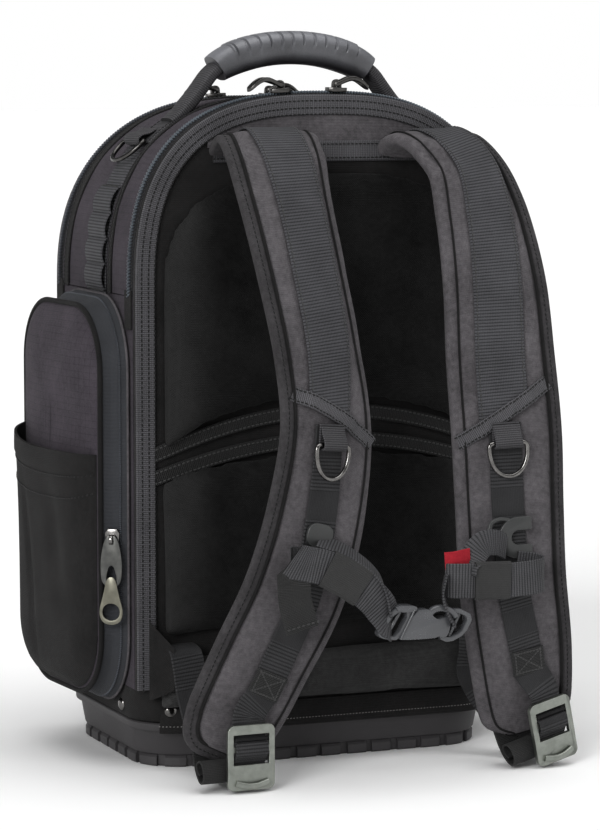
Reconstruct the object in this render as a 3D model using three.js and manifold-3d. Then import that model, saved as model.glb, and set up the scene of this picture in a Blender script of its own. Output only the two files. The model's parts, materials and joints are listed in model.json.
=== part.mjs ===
// Tool backpack standing on its moulded base, with its shoulder straps towards -Y.
// Millimetres. +Z is up, +X is to the right seen from behind, +Y is towards the bag's front.
// The origin is the middle of the base's underside.
import * as THREE from 'three';
import { mergeVertices } from 'three/addons/utils/BufferGeometryUtils.js';
import Module from 'manifold-3d';

const wasm = await Module();
wasm.setup();

// Fits and cloth
const GAP = 0.3;
const CLOTH = 2;
const WEBBING = 1.6;

// Body: straight sides under an arched top, which is a little lower at the front
const HALF_WIDTH = 146;
const ARCH_START = 346;
const REAR_ARCH = { rise: 144, power: 2.7 };
const FRONT_ARCH = { rise: 139, power: 2.4 };
const ARCH_STEPS = 22;
const BODY_FLOOR = 60;

// Body: places along the depth
const PANEL_BACK = -84;
const PANEL_THICK = 4;
const ZIP_WIDTH = 9;
const REAR_ZIP = PANEL_BACK + PANEL_THICK + GAP;
const FRONT_ZIP = 80;
const COIL = { half: 2.2, rise: 1.8, slope: 0.8 };
const BORDER_WIDTH = 15;
const BORDER_THICK = 2.2;
const YOKE = { width: 172, height: 15, z: 449 };

// Base
const TRAY_RIM = 34;
const TRAY_FLOOR = 5;
const TRAY_RADIUS = 36;
const LUG = { pitch: 22.5, groove: 7, height: 8, depth: 3.2, cornerDegrees: [22, 62] };
const TRAY_SECTIONS = [
  { halfX: 132, halfY: 77, z: TRAY_FLOOR },
  { halfX: 139.5, halfY: 85, z: TRAY_RIM },
  { halfX: 142.5, halfY: 88, z: TRAY_RIM },
  { halfX: 142, halfY: 87.5, z: TRAY_RIM - 6 },
  { halfX: 139, halfY: 84.5, z: TRAY_RIM - 7 },
  { halfX: 136.5, halfY: 82, z: LUG.height + 2 },
  { halfX: 138, halfY: 83.5, z: LUG.height + 0.5 },
  { halfX: 136.5, halfY: 82, z: 2 },
  { halfX: 134.5, halfY: 80, z: 0 },
];
const TREAD = { halfX: 137.4, halfY: 82.9 };
const BAND_LOW = { half: 141.5, front: 87, radius: 34 };
const BAND_HIGH_RADIUS = 12;

// Front shell: depth from its seam, inset of the arch, and rise of its floor
const FRONT_SHELL_STEPS = [
  { depth: 0, inset: 0, lift: 0 },
  { depth: 10, inset: 1.5, lift: 4 },
  { depth: 18, inset: 5, lift: 12 },
  { depth: 23, inset: 14, lift: 22 },
];

// Back pads: crowned cushions with curved upper and lower edges
const PADS = [
  { name: 'upper_pad', half: 124, topEdge: 346, top: 440, bottomEdge: 236, bottom: 264, power: 2.7, crown: 11 },
  { name: 'lower_pad', half: 124, topEdge: 208, top: 234, bottomEdge: 100, bottom: 96, power: 2, crown: 11 },
  { name: 'lumbar_pad', half: 122, topEdge: 82, top: 88, bottomEdge: 46, bottom: 43, power: 2, crown: 15 },
];
const PAD_STEPS = 13;
const PAD_CROWN = [
  { rise: 0, inset: 0 },
  { rise: 0.4, inset: 0.5 },
  { rise: 0.75, inset: 3.5 },
  { rise: 0.93, inset: 9 },
  { rise: 1, inset: 17 },
];

// Carry handle
const HANDLE_Y = -20;
const HANDLE_STRAP = { width: 24, thick: 6 };
const HANDLE_ENDS = [{ x: 98, lift: 0 }, { x: 88, lift: 0.6 }];
const HANDLE_RISE = [
  { x: 80, z: 485 },
  { x: 72, z: 495 },
  { x: 64, z: 505 },
  { x: 52, z: 513 },
  { x: 34, z: 519.5 },
  { x: 16, z: 522.8 },
];
const HANDLE_TOP = 523.6;
const HANDLE_STEPS = 30;
const GRIP = { width: 31, height: 24, reach: 60, roundness: 3, taper: 0.14, sides: 12 };

// Side webbing with its ring, and side pockets
const SIDE_Y = -7;
const SIDE_WEBBING_WIDTH = 38;
const SIDE_RING_Z = 452;
const DAISY = { start: ARCH_START + 2, end: SIDE_RING_Z - 30, loops: 4, hump: 2.4, steps: 16 };
const POCKET = { rear: -73, front: 84, floor: 46, top: 343, radius: 52 };
const POCKET_LEAN = 10;
const POCKET_ROOT = HALF_WIDTH + GAP;
const POCKET_ZIP_ROOT = 152;
const POCKET_ZIP_END = 166;
const POCKET_ZIP_INSET = 9;
const POCKET_CROWN = 178;
const POCKET_FACE_STEPS = [
  { inset: POCKET_ZIP_INSET, x: POCKET_ZIP_END + GAP },
  { inset: POCKET_ZIP_INSET + 2, x: 171 },
  { inset: 24, x: 175 },
  { inset: 44, x: POCKET_CROWN },
];
const SLIP = { edge: 13, hem: 231, hemRise: 11, stand: 174.8, bulge: 8, reach: 14, mouth: 5, columns: 13, rows: 7 };
const POCKET_SLIDER_Z = 170;
const POCKET_SLIDER_SHARE = 0.42;

// Shoulder straps: one row for each section of a strap, from the back panel down to its end
const STRAP_THICK = 14;
const STRAP_STEPS = 24;
const WIDE_WEBBING = 38;
const NARROW_WEBBING = 25;
const LEFT_STRAP = [
  { x: -56, y: -91, z: 449, width: 70, turn: 0, webbing: 2 },
  { x: -56, y: -103, z: 456, width: 72, turn: -2, webbing: 2 },
  { x: -56, y: -116, z: 458, width: 74, turn: -4, webbing: 3 },
  { x: -56, y: -131, z: 446, width: 76, turn: 2, webbing: 5 },
  { x: -53, y: -144, z: 413, width: 76, turn: 10, webbing: 7 },
  { x: -46, y: -157, z: 363, width: 75, turn: 13, webbing: 6 },
  { x: -38, y: -166, z: 308, width: 76, turn: 16, webbing: 4 },
  { x: -34, y: -172, z: 254, width: 82, turn: 18, webbing: -4 },
  { x: -43, y: -175, z: 195, width: 80, turn: 8, webbing: 0 },
  { x: -59, y: -174, z: 140, width: 82, turn: 5, webbing: 5 },
  { x: -81, y: -170, z: 95, width: 80, turn: 3, webbing: 8 },
  { x: -101, y: -164, z: 53, width: 76, turn: 2, webbing: 8 },
  { x: -115.5, y: -158.5, z: 23.5, width: 62, turn: 0, webbing: 8 },
];
const RIGHT_STRAP = [
  { x: 74, y: -91, z: 449, width: 68, turn: 0, webbing: 6 },
  { x: 74.5, y: -103, z: 456, width: 70, turn: 4, webbing: 6 },
  { x: 82, y: -116, z: 453, width: 72, turn: 12, webbing: 5 },
  { x: 93, y: -131, z: 436, width: 73, turn: 14, webbing: 4 },
  { x: 99.5, y: -144, z: 404, width: 76, turn: 5, webbing: 2 },
  { x: 103.5, y: -158, z: 355, width: 80, turn: -2, webbing: -1 },
  { x: 105, y: -166, z: 300, width: 83, turn: -5, webbing: -3 },
  { x: 108, y: -171, z: 245, width: 84, turn: -6, webbing: -4 },
  { x: 109, y: -174, z: 195, width: 83, turn: -5, webbing: -4 },
  { x: 112, y: -174, z: 140, width: 83, turn: -3, webbing: -3 },
  { x: 121, y: -169, z: 85, width: 82, turn: 0, webbing: 1 },
  { x: 128, y: -163, z: 45, width: 74, turn: 0, webbing: 6 },
  { x: 132.5, y: -158.5, z: 22.5, width: 58, turn: 0, webbing: 6 },
];
const STRAP_SIDES = 12;
const STRAP_SQUARENESS = 0.5;
const LEFT_RING_Z = 244;
const RIGHT_RING_Z = 240;
const WIDE_END_ABOVE_RING = 26;
const NARROW_START_ABOVE_RING = 9;
const WIDE_TOP = 0.2;
const NARROW_END_Z = 74;

// Ladder buckles at the strap ends
const LADDER = {
  width: 36, height: 47, thick: 3.4, radius: 5, slotWidth: 27,
  upperSlot: 8, upperSlotZ: 12.5, lowerSlot: 9, lowerSlotZ: -0.5,
};
const LEFT_LADDER = { x: -94.5, y: -180, z: 25.5, turn: 2, roll: 0 };
const RIGHT_LADDER = { x: 142, y: -181, z: 27.5, turn: 10, roll: 12 };
const ANCHOR = { x: 115, y: PANEL_BACK - GAP, z: 92 };
const ANCHOR_RUN = [[0, -10.5, 0], [-0.5, -17.5, -3], [-2, -20.5, -14], [-4, -22, -32]];

// Rings, zip sliders and pulls
const WIRE = 4;
const RING_SIDES = 8;
const RING_BOW = 10;
const STRAP_RING = { width: 29, drop: 24, tab: 13 };
const SIDE_RING = { width: 40, drop: 22, tab: 13 };
const TAB_HOLE = WIRE / 2 + 0.5;
const TAB_ROUND = TAB_HOLE + WEBBING;
const TAB_LIFT = TAB_ROUND + GAP;
const TAB_FOLD = 2.2 * WEBBING;
const SLIDER = {
  length: 15, width: 11, thick: 3.2, nose: 5, noseInset: 3, tail: 3, tailInset: 2, waist: 0.6,
  pivot: 6, bailWide: 3, bailRadius: 3.6, bailHole: 2, sink: 0.5,
};
const PULL = { thick: 1.8, bar: 1.1, neck: 4.2, slotEnd: 5.2, slotHalf: 2.2, shoulder: 0.45 };
const ZIP_PULL = { length: 24, wide: 10, holes: [{ at: 18, radius: 2.6 }] };
const POCKET_PULL = { length: 62, wide: 17, holes: [{ at: 52, radius: 5.5 }, { at: 28, radius: 3.2 }] };
const ZIP_SLIDERS = [
  { name: 'rear_left_zip', start: REAR_ZIP, arch: REAR_ARCH, x: -30, side: -1 },
  { name: 'rear_right_zip', start: REAR_ZIP, arch: REAR_ARCH, x: 14, side: 1 },
  { name: 'front_left_zip', start: FRONT_ZIP, arch: FRONT_ARCH, x: -20, side: -1 },
  { name: 'front_right_zip', start: FRONT_ZIP, arch: FRONT_ARCH, x: 24, side: 1 },
];

// Sternum strap
const BUCKLE = {
  x: 28.5, y: -203, z: 117, length: 77, height: 32, thick: 9, fall: 1,
  shoulder: 6, corner: 4, waist: 0.92, slotWidth: 7, slotHeight: 27.5, slotFromEnd: 8,
};
const STERNUM_SLIDERS = [
  { name: 'left', shift: -2, z: 182, width: 20, height: 16 },
  { name: 'right', shift: 6, z: 172, width: 28, height: 34 },
];
const STERNUM_SLIDER = { thick: 3, radius: 5, slotWidth: 0.5, slotHeight: 0.32, lift: 4 * GAP };

const bag = new THREE.Group();

// A mesh with a finish of its own, added to the bag
function piece(name, geometry, finish) {
  geometry.computeVertexNormals();
  const mesh = new THREE.Mesh(geometry, new THREE.MeshStandardMaterial(finish));
  mesh.name = name;
  bag.add(mesh);
  return mesh;
}

const GREY_CLOTH = { color: 0x46424a, roughness: 0.9, metalness: 0 };
const BLACK_CLOTH = { color: 0x222225, roughness: 0.9, metalness: 0 };
const WEB_BLACK = { color: 0x2a2a2d, roughness: 0.8, metalness: 0 };
const ZIP_TAPE = { color: 0x2b2e35, roughness: 0.6, metalness: 0 };
const PLASTIC = { color: 0x2c2b2d, roughness: 0.5, metalness: 0 };
const RUBBER = { color: 0x37363a, roughness: 0.7, metalness: 0 };
const GUNMETAL = { color: 0x5c5a58, roughness: 0.35, metalness: 0.9 };
const ALUMINIUM = { color: 0x6f6f6e, roughness: 0.45, metalness: 0.8 };
const DARK_STEEL = { color: 0x3a3a3c, roughness: 0.35, metalness: 0.9 };

const vec = (x, y, z) => new THREE.Vector3(x, y, z);
const radians = THREE.MathUtils.degToRad;

// A geometry from points and triangles, turned so that its faces point out
function closedGeometry(points, triangles) {
  let volume = 0;
  for (let i = 0; i < triangles.length; i += 3) {
    const [a, b, c] = triangles.slice(i, i + 3).map((k) => points[k]);
    volume += a.dot(b.clone().cross(c));
  }
  const geometry = new THREE.BufferGeometry();
  geometry.setAttribute('position', new THREE.Float32BufferAttribute(points.flatMap((p) => p.toArray()), 3));
  geometry.setIndex(volume < 0 ? triangles.slice().reverse() : triangles);
  return geometry;
}

// A skin over a row of loops with equal counts: closed by end caps, or joined into a ring
function skin(loops, ring = false) {
  const count = loops[0].length;
  const points = loops.flat();
  const triangles = [];
  const spans = ring ? loops.length : loops.length - 1;
  for (let i = 0; i < spans; i++) {
    const near = i * count;
    const far = ((i + 1) % loops.length) * count;
    for (let j = 0; j < count; j++) {
      const k = (j + 1) % count;
      triangles.push(near + j, far + j, far + k, near + j, far + k, near + k);
    }
  }
  if (!ring) {
    const last = (loops.length - 1) * count;
    const capMiddle = (loop) => loop.reduce((sum, p) => sum.add(p), vec(0, 0, 0)).divideScalar(count);
    points.push(capMiddle(loops[0]), capMiddle(loops[loops.length - 1]));
    for (let j = 0; j < count; j++) {
      const k = (j + 1) % count;
      triangles.push(points.length - 2, j, k, points.length - 1, last + k, last + j);
    }
  }
  return closedGeometry(points, triangles);
}

// A cloth wall between an outer and an inner grid of points
function wall(outer, inner) {
  const rows = outer.length;
  const columns = outer[0].length;
  const points = [...outer.flat(), ...inner.flat()];
  const front = (i, j) => i * columns + j;
  const back = (i, j) => rows * columns + i * columns + j;
  const triangles = [];
  const quad = (a, b, c, d) => triangles.push(a, b, c, a, c, d);
  for (let i = 0; i < rows - 1; i++) {
    for (let j = 0; j < columns - 1; j++) {
      quad(front(i, j), front(i, j + 1), front(i + 1, j + 1), front(i + 1, j));
      quad(back(i, j), back(i + 1, j), back(i + 1, j + 1), back(i, j + 1));
    }
    quad(front(i, 0), front(i + 1, 0), back(i + 1, 0), back(i, 0));
    quad(front(i, columns - 1), back(i, columns - 1), back(i + 1, columns - 1), front(i + 1, columns - 1));
  }
  for (let j = 0; j < columns - 1; j++) {
    quad(front(0, j), back(0, j), back(0, j + 1), front(0, j + 1));
    quad(front(rows - 1, j), front(rows - 1, j + 1), back(rows - 1, j + 1), back(rows - 1, j));
  }
  return closedGeometry(points, triangles);
}

// Boolean cuts and joins
function toSolid(geometry) {
  const bare = geometry.clone();
  bare.deleteAttribute('normal');
  bare.deleteAttribute('uv');
  const merged = mergeVertices(bare, 1e-4);
  const vertProperties = new Float32Array(merged.attributes.position.array);
  const triVerts = new Uint32Array(merged.index.array);
  return new wasm.Manifold(new wasm.Mesh({ numProp: 3, vertProperties, triVerts }));
}

function fromSolid(solid) {
  const mesh = solid.getMesh();
  const geometry = new THREE.BufferGeometry();
  geometry.setAttribute('position', new THREE.BufferAttribute(new Float32Array(mesh.vertProperties), 3));
  geometry.setIndex(new THREE.BufferAttribute(new Uint32Array(mesh.triVerts), 1));
  return geometry;
}

const joined = (...geometries) => fromSolid(geometries.map(toSolid).reduce((a, b) => a.add(b)));
const cut = (body, ...tools) => fromSolid(tools.map(toSolid).reduce((a, b) => a.subtract(b), toSolid(body)));

// A flat plate: an outline with holes, extruded evenly about its own plane
function plate(shape, thick, curveSegments = 6) {
  const geometry = new THREE.ExtrudeGeometry(shape, { depth: thick, bevelEnabled: false, curveSegments });
  return geometry.translate(0, 0, -thick / 2);
}

function rectangle(path, width, height, x = 0, y = 0) {
  path.moveTo(x - width / 2, y - height / 2);
  path.lineTo(x + width / 2, y - height / 2);
  path.lineTo(x + width / 2, y + height / 2);
  path.lineTo(x - width / 2, y + height / 2);
  path.closePath();
  return path;
}

function roundedRectangle(path, width, height, radius, x = 0, y = 0) {
  const right = x + width / 2;
  const top = y + height / 2;
  const left = x - width / 2;
  const bottom = y - height / 2;
  path.moveTo(left + radius, bottom);
  path.lineTo(right - radius, bottom);
  path.absarc(right - radius, bottom + radius, radius, -Math.PI / 2, 0);
  path.lineTo(right, top - radius);
  path.absarc(right - radius, top - radius, radius, 0, Math.PI / 2);
  path.lineTo(left + radius, top);
  path.absarc(left + radius, top - radius, radius, Math.PI / 2, Math.PI);
  path.lineTo(left, bottom + radius);
  path.absarc(left + radius, bottom + radius, radius, Math.PI, 1.5 * Math.PI);
  return path;
}

// The arch at a depth: between the rear one and the front one
function archAt(y) {
  const share = THREE.MathUtils.clamp((y - REAR_ZIP) / (FRONT_ZIP - REAR_ZIP), 0, 1);
  const mix = (key) => THREE.MathUtils.lerp(REAR_ARCH[key], FRONT_ARCH[key], share);
  return { rise: mix('rise'), power: mix('power') };
}

// Arched outline of the body, moved in by an inset: x for a height, z for a width, and all its points
const archShare = (arch, share) => (1 - Math.abs(share) ** arch.power) ** (1 / arch.power);
const archX = (arch, z, inset) => (
  (HALF_WIDTH - inset) * archShare(arch, Math.max(0, z - ARCH_START) / (arch.rise - inset))
);
const archZ = (arch, x, inset) => ARCH_START + (arch.rise - inset) * archShare(arch, x / (HALF_WIDTH - inset));

function archOutline(arch, inset, sideHeights) {
  const half = HALF_WIDTH - inset;
  const points = sideHeights.map((z) => [-half, z]);
  for (let i = 1; i < ARCH_STEPS; i++) {
    const across = Math.cos(Math.PI * (1 - i / ARCH_STEPS));
    const x = half * Math.sign(across) * Math.abs(across) ** (2 / REAR_ARCH.power);
    points.push([x, archZ(arch, x, inset)]);
  }
  return [...points, ...sideHeights.map((z) => [half, z]).reverse()];
}

// A band that follows an arch, with a profile of insets and depths
function archBand(arch, profile, sideHeights) {
  const lines = profile.map((corner) => archOutline(arch, corner.inset, sideHeights));
  return skin(lines[0].map((_, i) => profile.map((corner, k) => vec(lines[k][i][0], corner.y, lines[k][i][1]))));
}

function zipBand(arch, start) {
  const end = start + ZIP_WIDTH;
  const middle = start + ZIP_WIDTH / 2;
  const foot = COIL.half + COIL.slope;
  const profile = [
    { inset: 0, y: start },
    { inset: 0, y: middle - foot },
    { inset: -COIL.rise, y: middle - COIL.half },
    { inset: -COIL.rise, y: middle + COIL.half },
    { inset: 0, y: middle + foot },
    { inset: 0, y: end },
    { inset: CLOTH, y: end },
    { inset: CLOTH, y: start },
  ];
  return archBand(arch, profile, [ARCH_START + GAP]);
}

// Gusset: below the zips it is wide enough to reach the back panel and the front
function midGusset() {
  const narrow = [REAR_ZIP + ZIP_WIDTH + GAP, FRONT_ZIP - GAP];
  const wide = [REAR_ZIP, FRONT_ZIP + ZIP_WIDTH];
  const heights = [BODY_FLOOR, ARCH_START - 2 * GAP, ARCH_START];
  const lines = (arch) => [archOutline(arch, 0, heights), archOutline(arch, CLOTH, heights)];
  const [rearOuter, rearInner] = lines(REAR_ARCH);
  const [frontOuter, frontInner] = lines(FRONT_ARCH);
  return skin(rearOuter.map(([x, z], i) => {
    const [rear, front] = z < ARCH_START - GAP ? wide : narrow;
    const corner = (line, y) => vec(line[i][0], y, line[i][1]);
    return [corner(rearOuter, rear), corner(frontOuter, front), corner(frontInner, front), corner(rearInner, rear)];
  }));
}

// Closed arch loop at one depth, standing on a level floor
function archLoop(arch, inset, y, floor) {
  return archOutline(arch, inset, [floor]).map(([x, z]) => vec(x, y, z));
}

function frontShell() {
  const start = FRONT_ZIP + ZIP_WIDTH + GAP;
  const outer = FRONT_SHELL_STEPS.map((s) => archLoop(FRONT_ARCH, s.inset, start + s.depth, BODY_FLOOR + s.lift));
  const inner = FRONT_SHELL_STEPS.map((s) => {
    const depth = Math.max(0, s.depth - CLOTH);
    return archLoop(FRONT_ARCH, s.inset + CLOTH, start + depth, BODY_FLOOR + s.lift + CLOTH);
  });
  return skin([...inner.reverse(), ...outer]);
}

function backPanel() {
  return skin([PANEL_BACK, PANEL_BACK + PANEL_THICK].map((y) => archLoop(REAR_ARCH, 0, y, BODY_FLOOR)));
}

function backBorder() {
  const seat = PANEL_BACK - GAP;
  return archBand(REAR_ARCH, [
    { inset: 0, y: seat },
    { inset: 0, y: seat - BORDER_THICK },
    { inset: BORDER_WIDTH, y: seat - BORDER_THICK },
    { inset: BORDER_WIDTH, y: seat },
  ], [BODY_FLOOR]);
}

function yokeTape() {
  const tape = new THREE.BoxGeometry(YOKE.width, BORDER_THICK, YOKE.height);
  return tape.translate(0, PANEL_BACK - GAP - BORDER_THICK / 2, YOKE.z);
}

// Rounded rectangle loop on a level, with the corner arcs drawn in equal steps
function levelLoop(x0, x1, y0, y1, radius, z) {
  const steps = 4;
  const corners = [
    [x1 - radius, y1 - radius, 0],
    [x0 + radius, y1 - radius, 90],
    [x0 + radius, y0 + radius, 180],
    [x1 - radius, y0 + radius, 270],
  ];
  return corners.flatMap(([cx, cy, start]) => Array.from({ length: steps + 1 }, (_, i) => {
    const angle = radians(start + (90 * i) / steps);
    return vec(cx + radius * Math.cos(angle), cy + radius * Math.sin(angle), z);
  }));
}

// Grooves that leave a tread of lugs round the base's lower edge
function lugGrooves() {
  const grooves = [];
  const bothSides = (x, y, turn) => [-1, 1].forEach((sx) => [-1, 1].forEach((sy) => {
    const box = new THREE.BoxGeometry(LUG.groove, 2 * LUG.depth, 2 * LUG.height);
    grooves.push(box.rotateZ(sx * sy * turn).translate(sx * x, sy * y, 0));
  }));
  const straightX = TREAD.halfX - TRAY_RADIUS;
  const straightY = TREAD.halfY - TRAY_RADIUS;
  for (let x = LUG.pitch / 2; x < straightX; x += LUG.pitch) {
    bothSides(x, TREAD.halfY, 0);
  }
  for (let y = LUG.pitch / 2; y < straightY; y += LUG.pitch) {
    bothSides(TREAD.halfX, y, Math.PI / 2);
  }
  LUG.cornerDegrees.map(radians).forEach((angle) => {
    const x = straightX + TRAY_RADIUS * Math.cos(angle);
    const y = straightY + TRAY_RADIUS * Math.sin(angle);
    bothSides(x, y, angle - Math.PI / 2);
  });
  return grooves;
}

function baseTray() {
  const loops = TRAY_SECTIONS.map(({ halfX, halfY, z }) => (
    levelLoop(-halfX, halfX, -halfY, halfY, TRAY_RADIUS, z)
  ));
  return cut(skin(loops), ...lugGrooves());
}

function bottomBand() {
  const band = (thick, z, half, front, radius) => levelLoop(
    -half + thick, half - thick, PANEL_BACK + thick, front - thick, radius - thick, z,
  );
  const low = (thick) => band(thick, TRAY_RIM + GAP, BAND_LOW.half, BAND_LOW.front, BAND_LOW.radius);
  const high = (thick) => band(thick, BODY_FLOOR - GAP, HALF_WIDTH, FRONT_ZIP + ZIP_WIDTH, BAND_HIGH_RADIUS);
  return skin([low(CLOTH), high(CLOTH), high(0), low(0)], true);
}

// Pad loop at one depth, moved in by an inset; its lower edge is a shallow bow
function padLoop(pad, inset, y) {
  const half = pad.half - inset;
  const angles = Array.from({ length: PAD_STEPS + 1 }, (_, i) => (Math.PI * i) / PAD_STEPS);
  const upper = angles.map((angle) => {
    const across = Math.cos(angle);
    const rise = Math.abs(Math.sin(angle)) ** (2 / pad.power);
    const x = half * Math.sign(across) * Math.abs(across) ** (2 / pad.power);
    return vec(x, y, pad.topEdge - inset + (pad.top - pad.topEdge) * rise);
  });
  const lower = angles.map((angle) => {
    const bow = (pad.bottom - pad.bottomEdge) * Math.sin(angle) ** 2;
    return vec(-half * Math.cos(angle), y, pad.bottomEdge + inset + bow);
  });
  return [...upper, ...lower];
}

function padCushion(pad) {
  const seat = PANEL_BACK - GAP;
  return skin(PAD_CROWN.map((c) => padLoop(pad, c.inset, seat - c.rise * pad.crown)));
}

// A strip of even section swept along points, with its width across and its thickness outwards
function strip(points, across, width, thick) {
  const loops = points.map((p, i) => {
    const before = points[Math.max(0, i - 1)];
    const after = points[Math.min(points.length - 1, i + 1)];
    const along = after.clone().sub(before).normalize();
    const side = across.clone().addScaledVector(along, -across.dot(along)).normalize();
    const out = along.clone().cross(side);
    const corner = (u, v) => p.clone().addScaledVector(side, u * width / 2).addScaledVector(out, v * thick);
    return [corner(-1, -0.5), corner(1, -0.5), corner(1, 0.5), corner(-1, 0.5)];
  });
  return skin(loops);
}

const smooth = (points, steps) => new THREE.CatmullRomCurve3(points, false, 'centripetal').getPoints(steps);

// Carry handle: a webbing loop on the gusset, and the rubber grip that it passes through
function handleRoute() {
  const arch = archAt(HANDLE_Y);
  const lay = (x) => archZ(arch, x, -3 * GAP - HANDLE_STRAP.thick / 2);
  const ends = HANDLE_ENDS.map(({ x, lift }) => ({ x, z: lay(x) + lift }));
  const half = [...ends, ...HANDLE_RISE];
  const left = half.map(({ x, z }) => vec(-x, HANDLE_Y, z));
  const right = half.map(({ x, z }) => vec(x, HANDLE_Y, z)).reverse();
  return smooth([...left, vec(0, HANDLE_Y, HANDLE_TOP), ...right], HANDLE_STEPS);
}

function handleGrip(route) {
  const inside = route.filter((p) => Math.abs(p.x) <= GRIP.reach);
  const rounded = (value) => Math.sign(value) * Math.abs(value) ** (2 / GRIP.roundness);
  const body = skin(inside.map((p, i) => {
    const before = inside[Math.max(0, i - 1)];
    const after = inside[Math.min(inside.length - 1, i + 1)];
    const along = after.clone().sub(before).normalize();
    const out = vec(-along.z, 0, along.x);
    const taper = 1 - GRIP.taper * (Math.abs(p.x) / GRIP.reach) ** 6;
    return Array.from({ length: GRIP.sides }, (_, k) => {
      const angle = (2 * Math.PI * (k + 0.5)) / GRIP.sides;
      const u = rounded(Math.cos(angle)) * taper * GRIP.width / 2;
      const v = rounded(Math.sin(angle)) * taper * GRIP.height / 2;
      return p.clone().add(vec(0, u, 0)).addScaledVector(out, v);
    });
  }));
  return cut(body, strip(route, vec(0, 1, 0), HANDLE_STRAP.width + 2 * GAP, HANDLE_STRAP.thick + 2 * GAP));
}

// A D-ring about its straight bar: the bar lies on local X through the origin, the bow hangs down -Z
function dRing(width, drop) {
  const half = width / 2;
  const path = [vec(-half, 0, 0), vec(half, 0, 0)];
  for (let i = 1; i < RING_BOW; i++) {
    const angle = (Math.PI * i) / RING_BOW;
    path.push(vec(half * Math.cos(angle), 0, -drop * Math.sin(angle) ** 0.8));
  }
  return skin(path.map((p, i) => {
    const before = path[(i + path.length - 1) % path.length];
    const after = path[(i + 1) % path.length];
    const leave = after.clone().sub(p).normalize();
    const along = p.clone().sub(before).normalize().add(leave).normalize();
    const mitre = 1 / Math.max(0.6, along.dot(leave));
    const inPlane = vec(along.z, 0, -along.x);
    return Array.from({ length: RING_SIDES }, (_, k) => {
      const angle = (2 * Math.PI * (k + 0.5)) / RING_SIDES;
      const u = mitre * Math.cos(angle) * WIRE / 2;
      return p.clone().addScaledVector(inPlane, u).add(vec(0, Math.sin(angle) * WIRE / 2, 0));
    });
  }), true);
}

// Webbing tab folded round a ring's bar; local X across, -Y out from its seat, +Z up the tab
function ringTab(ring) {
  const shape = new THREE.Shape();
  shape.moveTo(GAP, ring.tab);
  shape.lineTo(GAP, 0);
  shape.absarc(TAB_LIFT, 0, TAB_ROUND, Math.PI, radians(400));
  shape.lineTo(GAP + TAB_FOLD, TAB_ROUND + WIRE);
  shape.lineTo(GAP + TAB_FOLD, ring.tab);
  shape.closePath();
  const hole = new THREE.Path();
  hole.absarc(TAB_LIFT, 0, TAB_HOLE, 0, 2 * Math.PI);
  shape.holes.push(hole);
  const width = ring.width - 2 * WIRE;
  const basis = new THREE.Matrix4().makeBasis(vec(0, -1, 0), vec(0, 0, 1), vec(-1, 0, 0));
  return plate(shape, width, 5).applyMatrix4(basis).translate(0, TAB_LIFT, 0);
}

// Zip slider: local X along the zip, Y across it, Z out; the bail's hole is its pivot
function sliderGeometry() {
  const half = SLIDER.length / 2;
  const side = SLIDER.width / 2;
  const halfOutline = [
    [-half, side - SLIDER.tailInset],
    [-half + SLIDER.tail, side],
    [half - SLIDER.nose, side - SLIDER.waist],
    [half, side - SLIDER.noseInset],
  ];
  const mirrored = halfOutline.map(([x, y]) => [x, -y]).reverse();
  const outline = new THREE.Shape([...halfOutline, ...mirrored].map(([x, y]) => new THREE.Vector2(x, y)));
  const bottom = GAP + COIL.rise;
  const body = plate(outline, SLIDER.thick).translate(0, 0, bottom + SLIDER.thick / 2);
  const foot = bottom + SLIDER.thick - SLIDER.sink;
  const pivot = SLIDER.pivot + COIL.rise;
  const arch = new THREE.Shape();
  arch.moveTo(SLIDER.bailRadius, foot);
  arch.lineTo(SLIDER.bailRadius, pivot);
  arch.absarc(0, pivot, SLIDER.bailRadius, 0, Math.PI);
  arch.lineTo(-SLIDER.bailRadius, foot);
  arch.closePath();
  const hole = new THREE.Path();
  hole.absarc(0, pivot, SLIDER.bailHole, 0, 2 * Math.PI);
  arch.holes.push(hole);
  return joined(body, plate(arch, SLIDER.bailWide, 4).rotateX(Math.PI / 2));
}

// Zip pull about its pivot: a plate along +X with a slot round the bail and holes further out
function pullGeometry({ length, wide, holes }) {
  const half = wide / 2;
  const shoulder = length * PULL.shoulder;
  const neckEnd = PULL.slotEnd + 2 * PULL.bar;
  const shape = new THREE.Shape();
  shape.moveTo(-PULL.bar, -PULL.neck);
  shape.lineTo(neckEnd, -PULL.neck);
  shape.lineTo(shoulder, -half);
  shape.lineTo(length - half, -half);
  shape.absarc(length - half, 0, half, -Math.PI / 2, Math.PI / 2);
  shape.lineTo(shoulder, half);
  shape.lineTo(neckEnd, PULL.neck);
  shape.lineTo(-PULL.bar, PULL.neck);
  shape.closePath();
  const slot = new THREE.Path();
  rectangle(slot, PULL.slotEnd - PULL.bar, 2 * PULL.slotHalf, (PULL.slotEnd + PULL.bar) / 2);
  shape.holes.push(slot);
  holes.forEach(({ at, radius }) => {
    const hole = new THREE.Path();
    hole.absarc(at, 0, radius, 0, 2 * Math.PI);
    shape.holes.push(hole);
  });
  return plate(shape, PULL.thick, 4);
}

// Places a piece by the directions of its own X, Y and Z
function place(mesh, at, xAxis, yAxis, zAxis) {
  mesh.quaternion.setFromRotationMatrix(new THREE.Matrix4().makeBasis(xAxis, yAxis, zAxis));
  mesh.position.copy(at);
}

function sliderWithPull(name, at, along, out, pull) {
  const across = out.clone().cross(along);
  const slider = piece(`${name}_slider`, sliderGeometry(), DARK_STEEL);
  place(slider, at, along, across, out);
  const tab = piece(`${name}_pull`, pullGeometry(pull), GUNMETAL);
  place(tab, at.clone().addScaledVector(out, SLIDER.pivot + COIL.rise), along, across, out);
}

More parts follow.
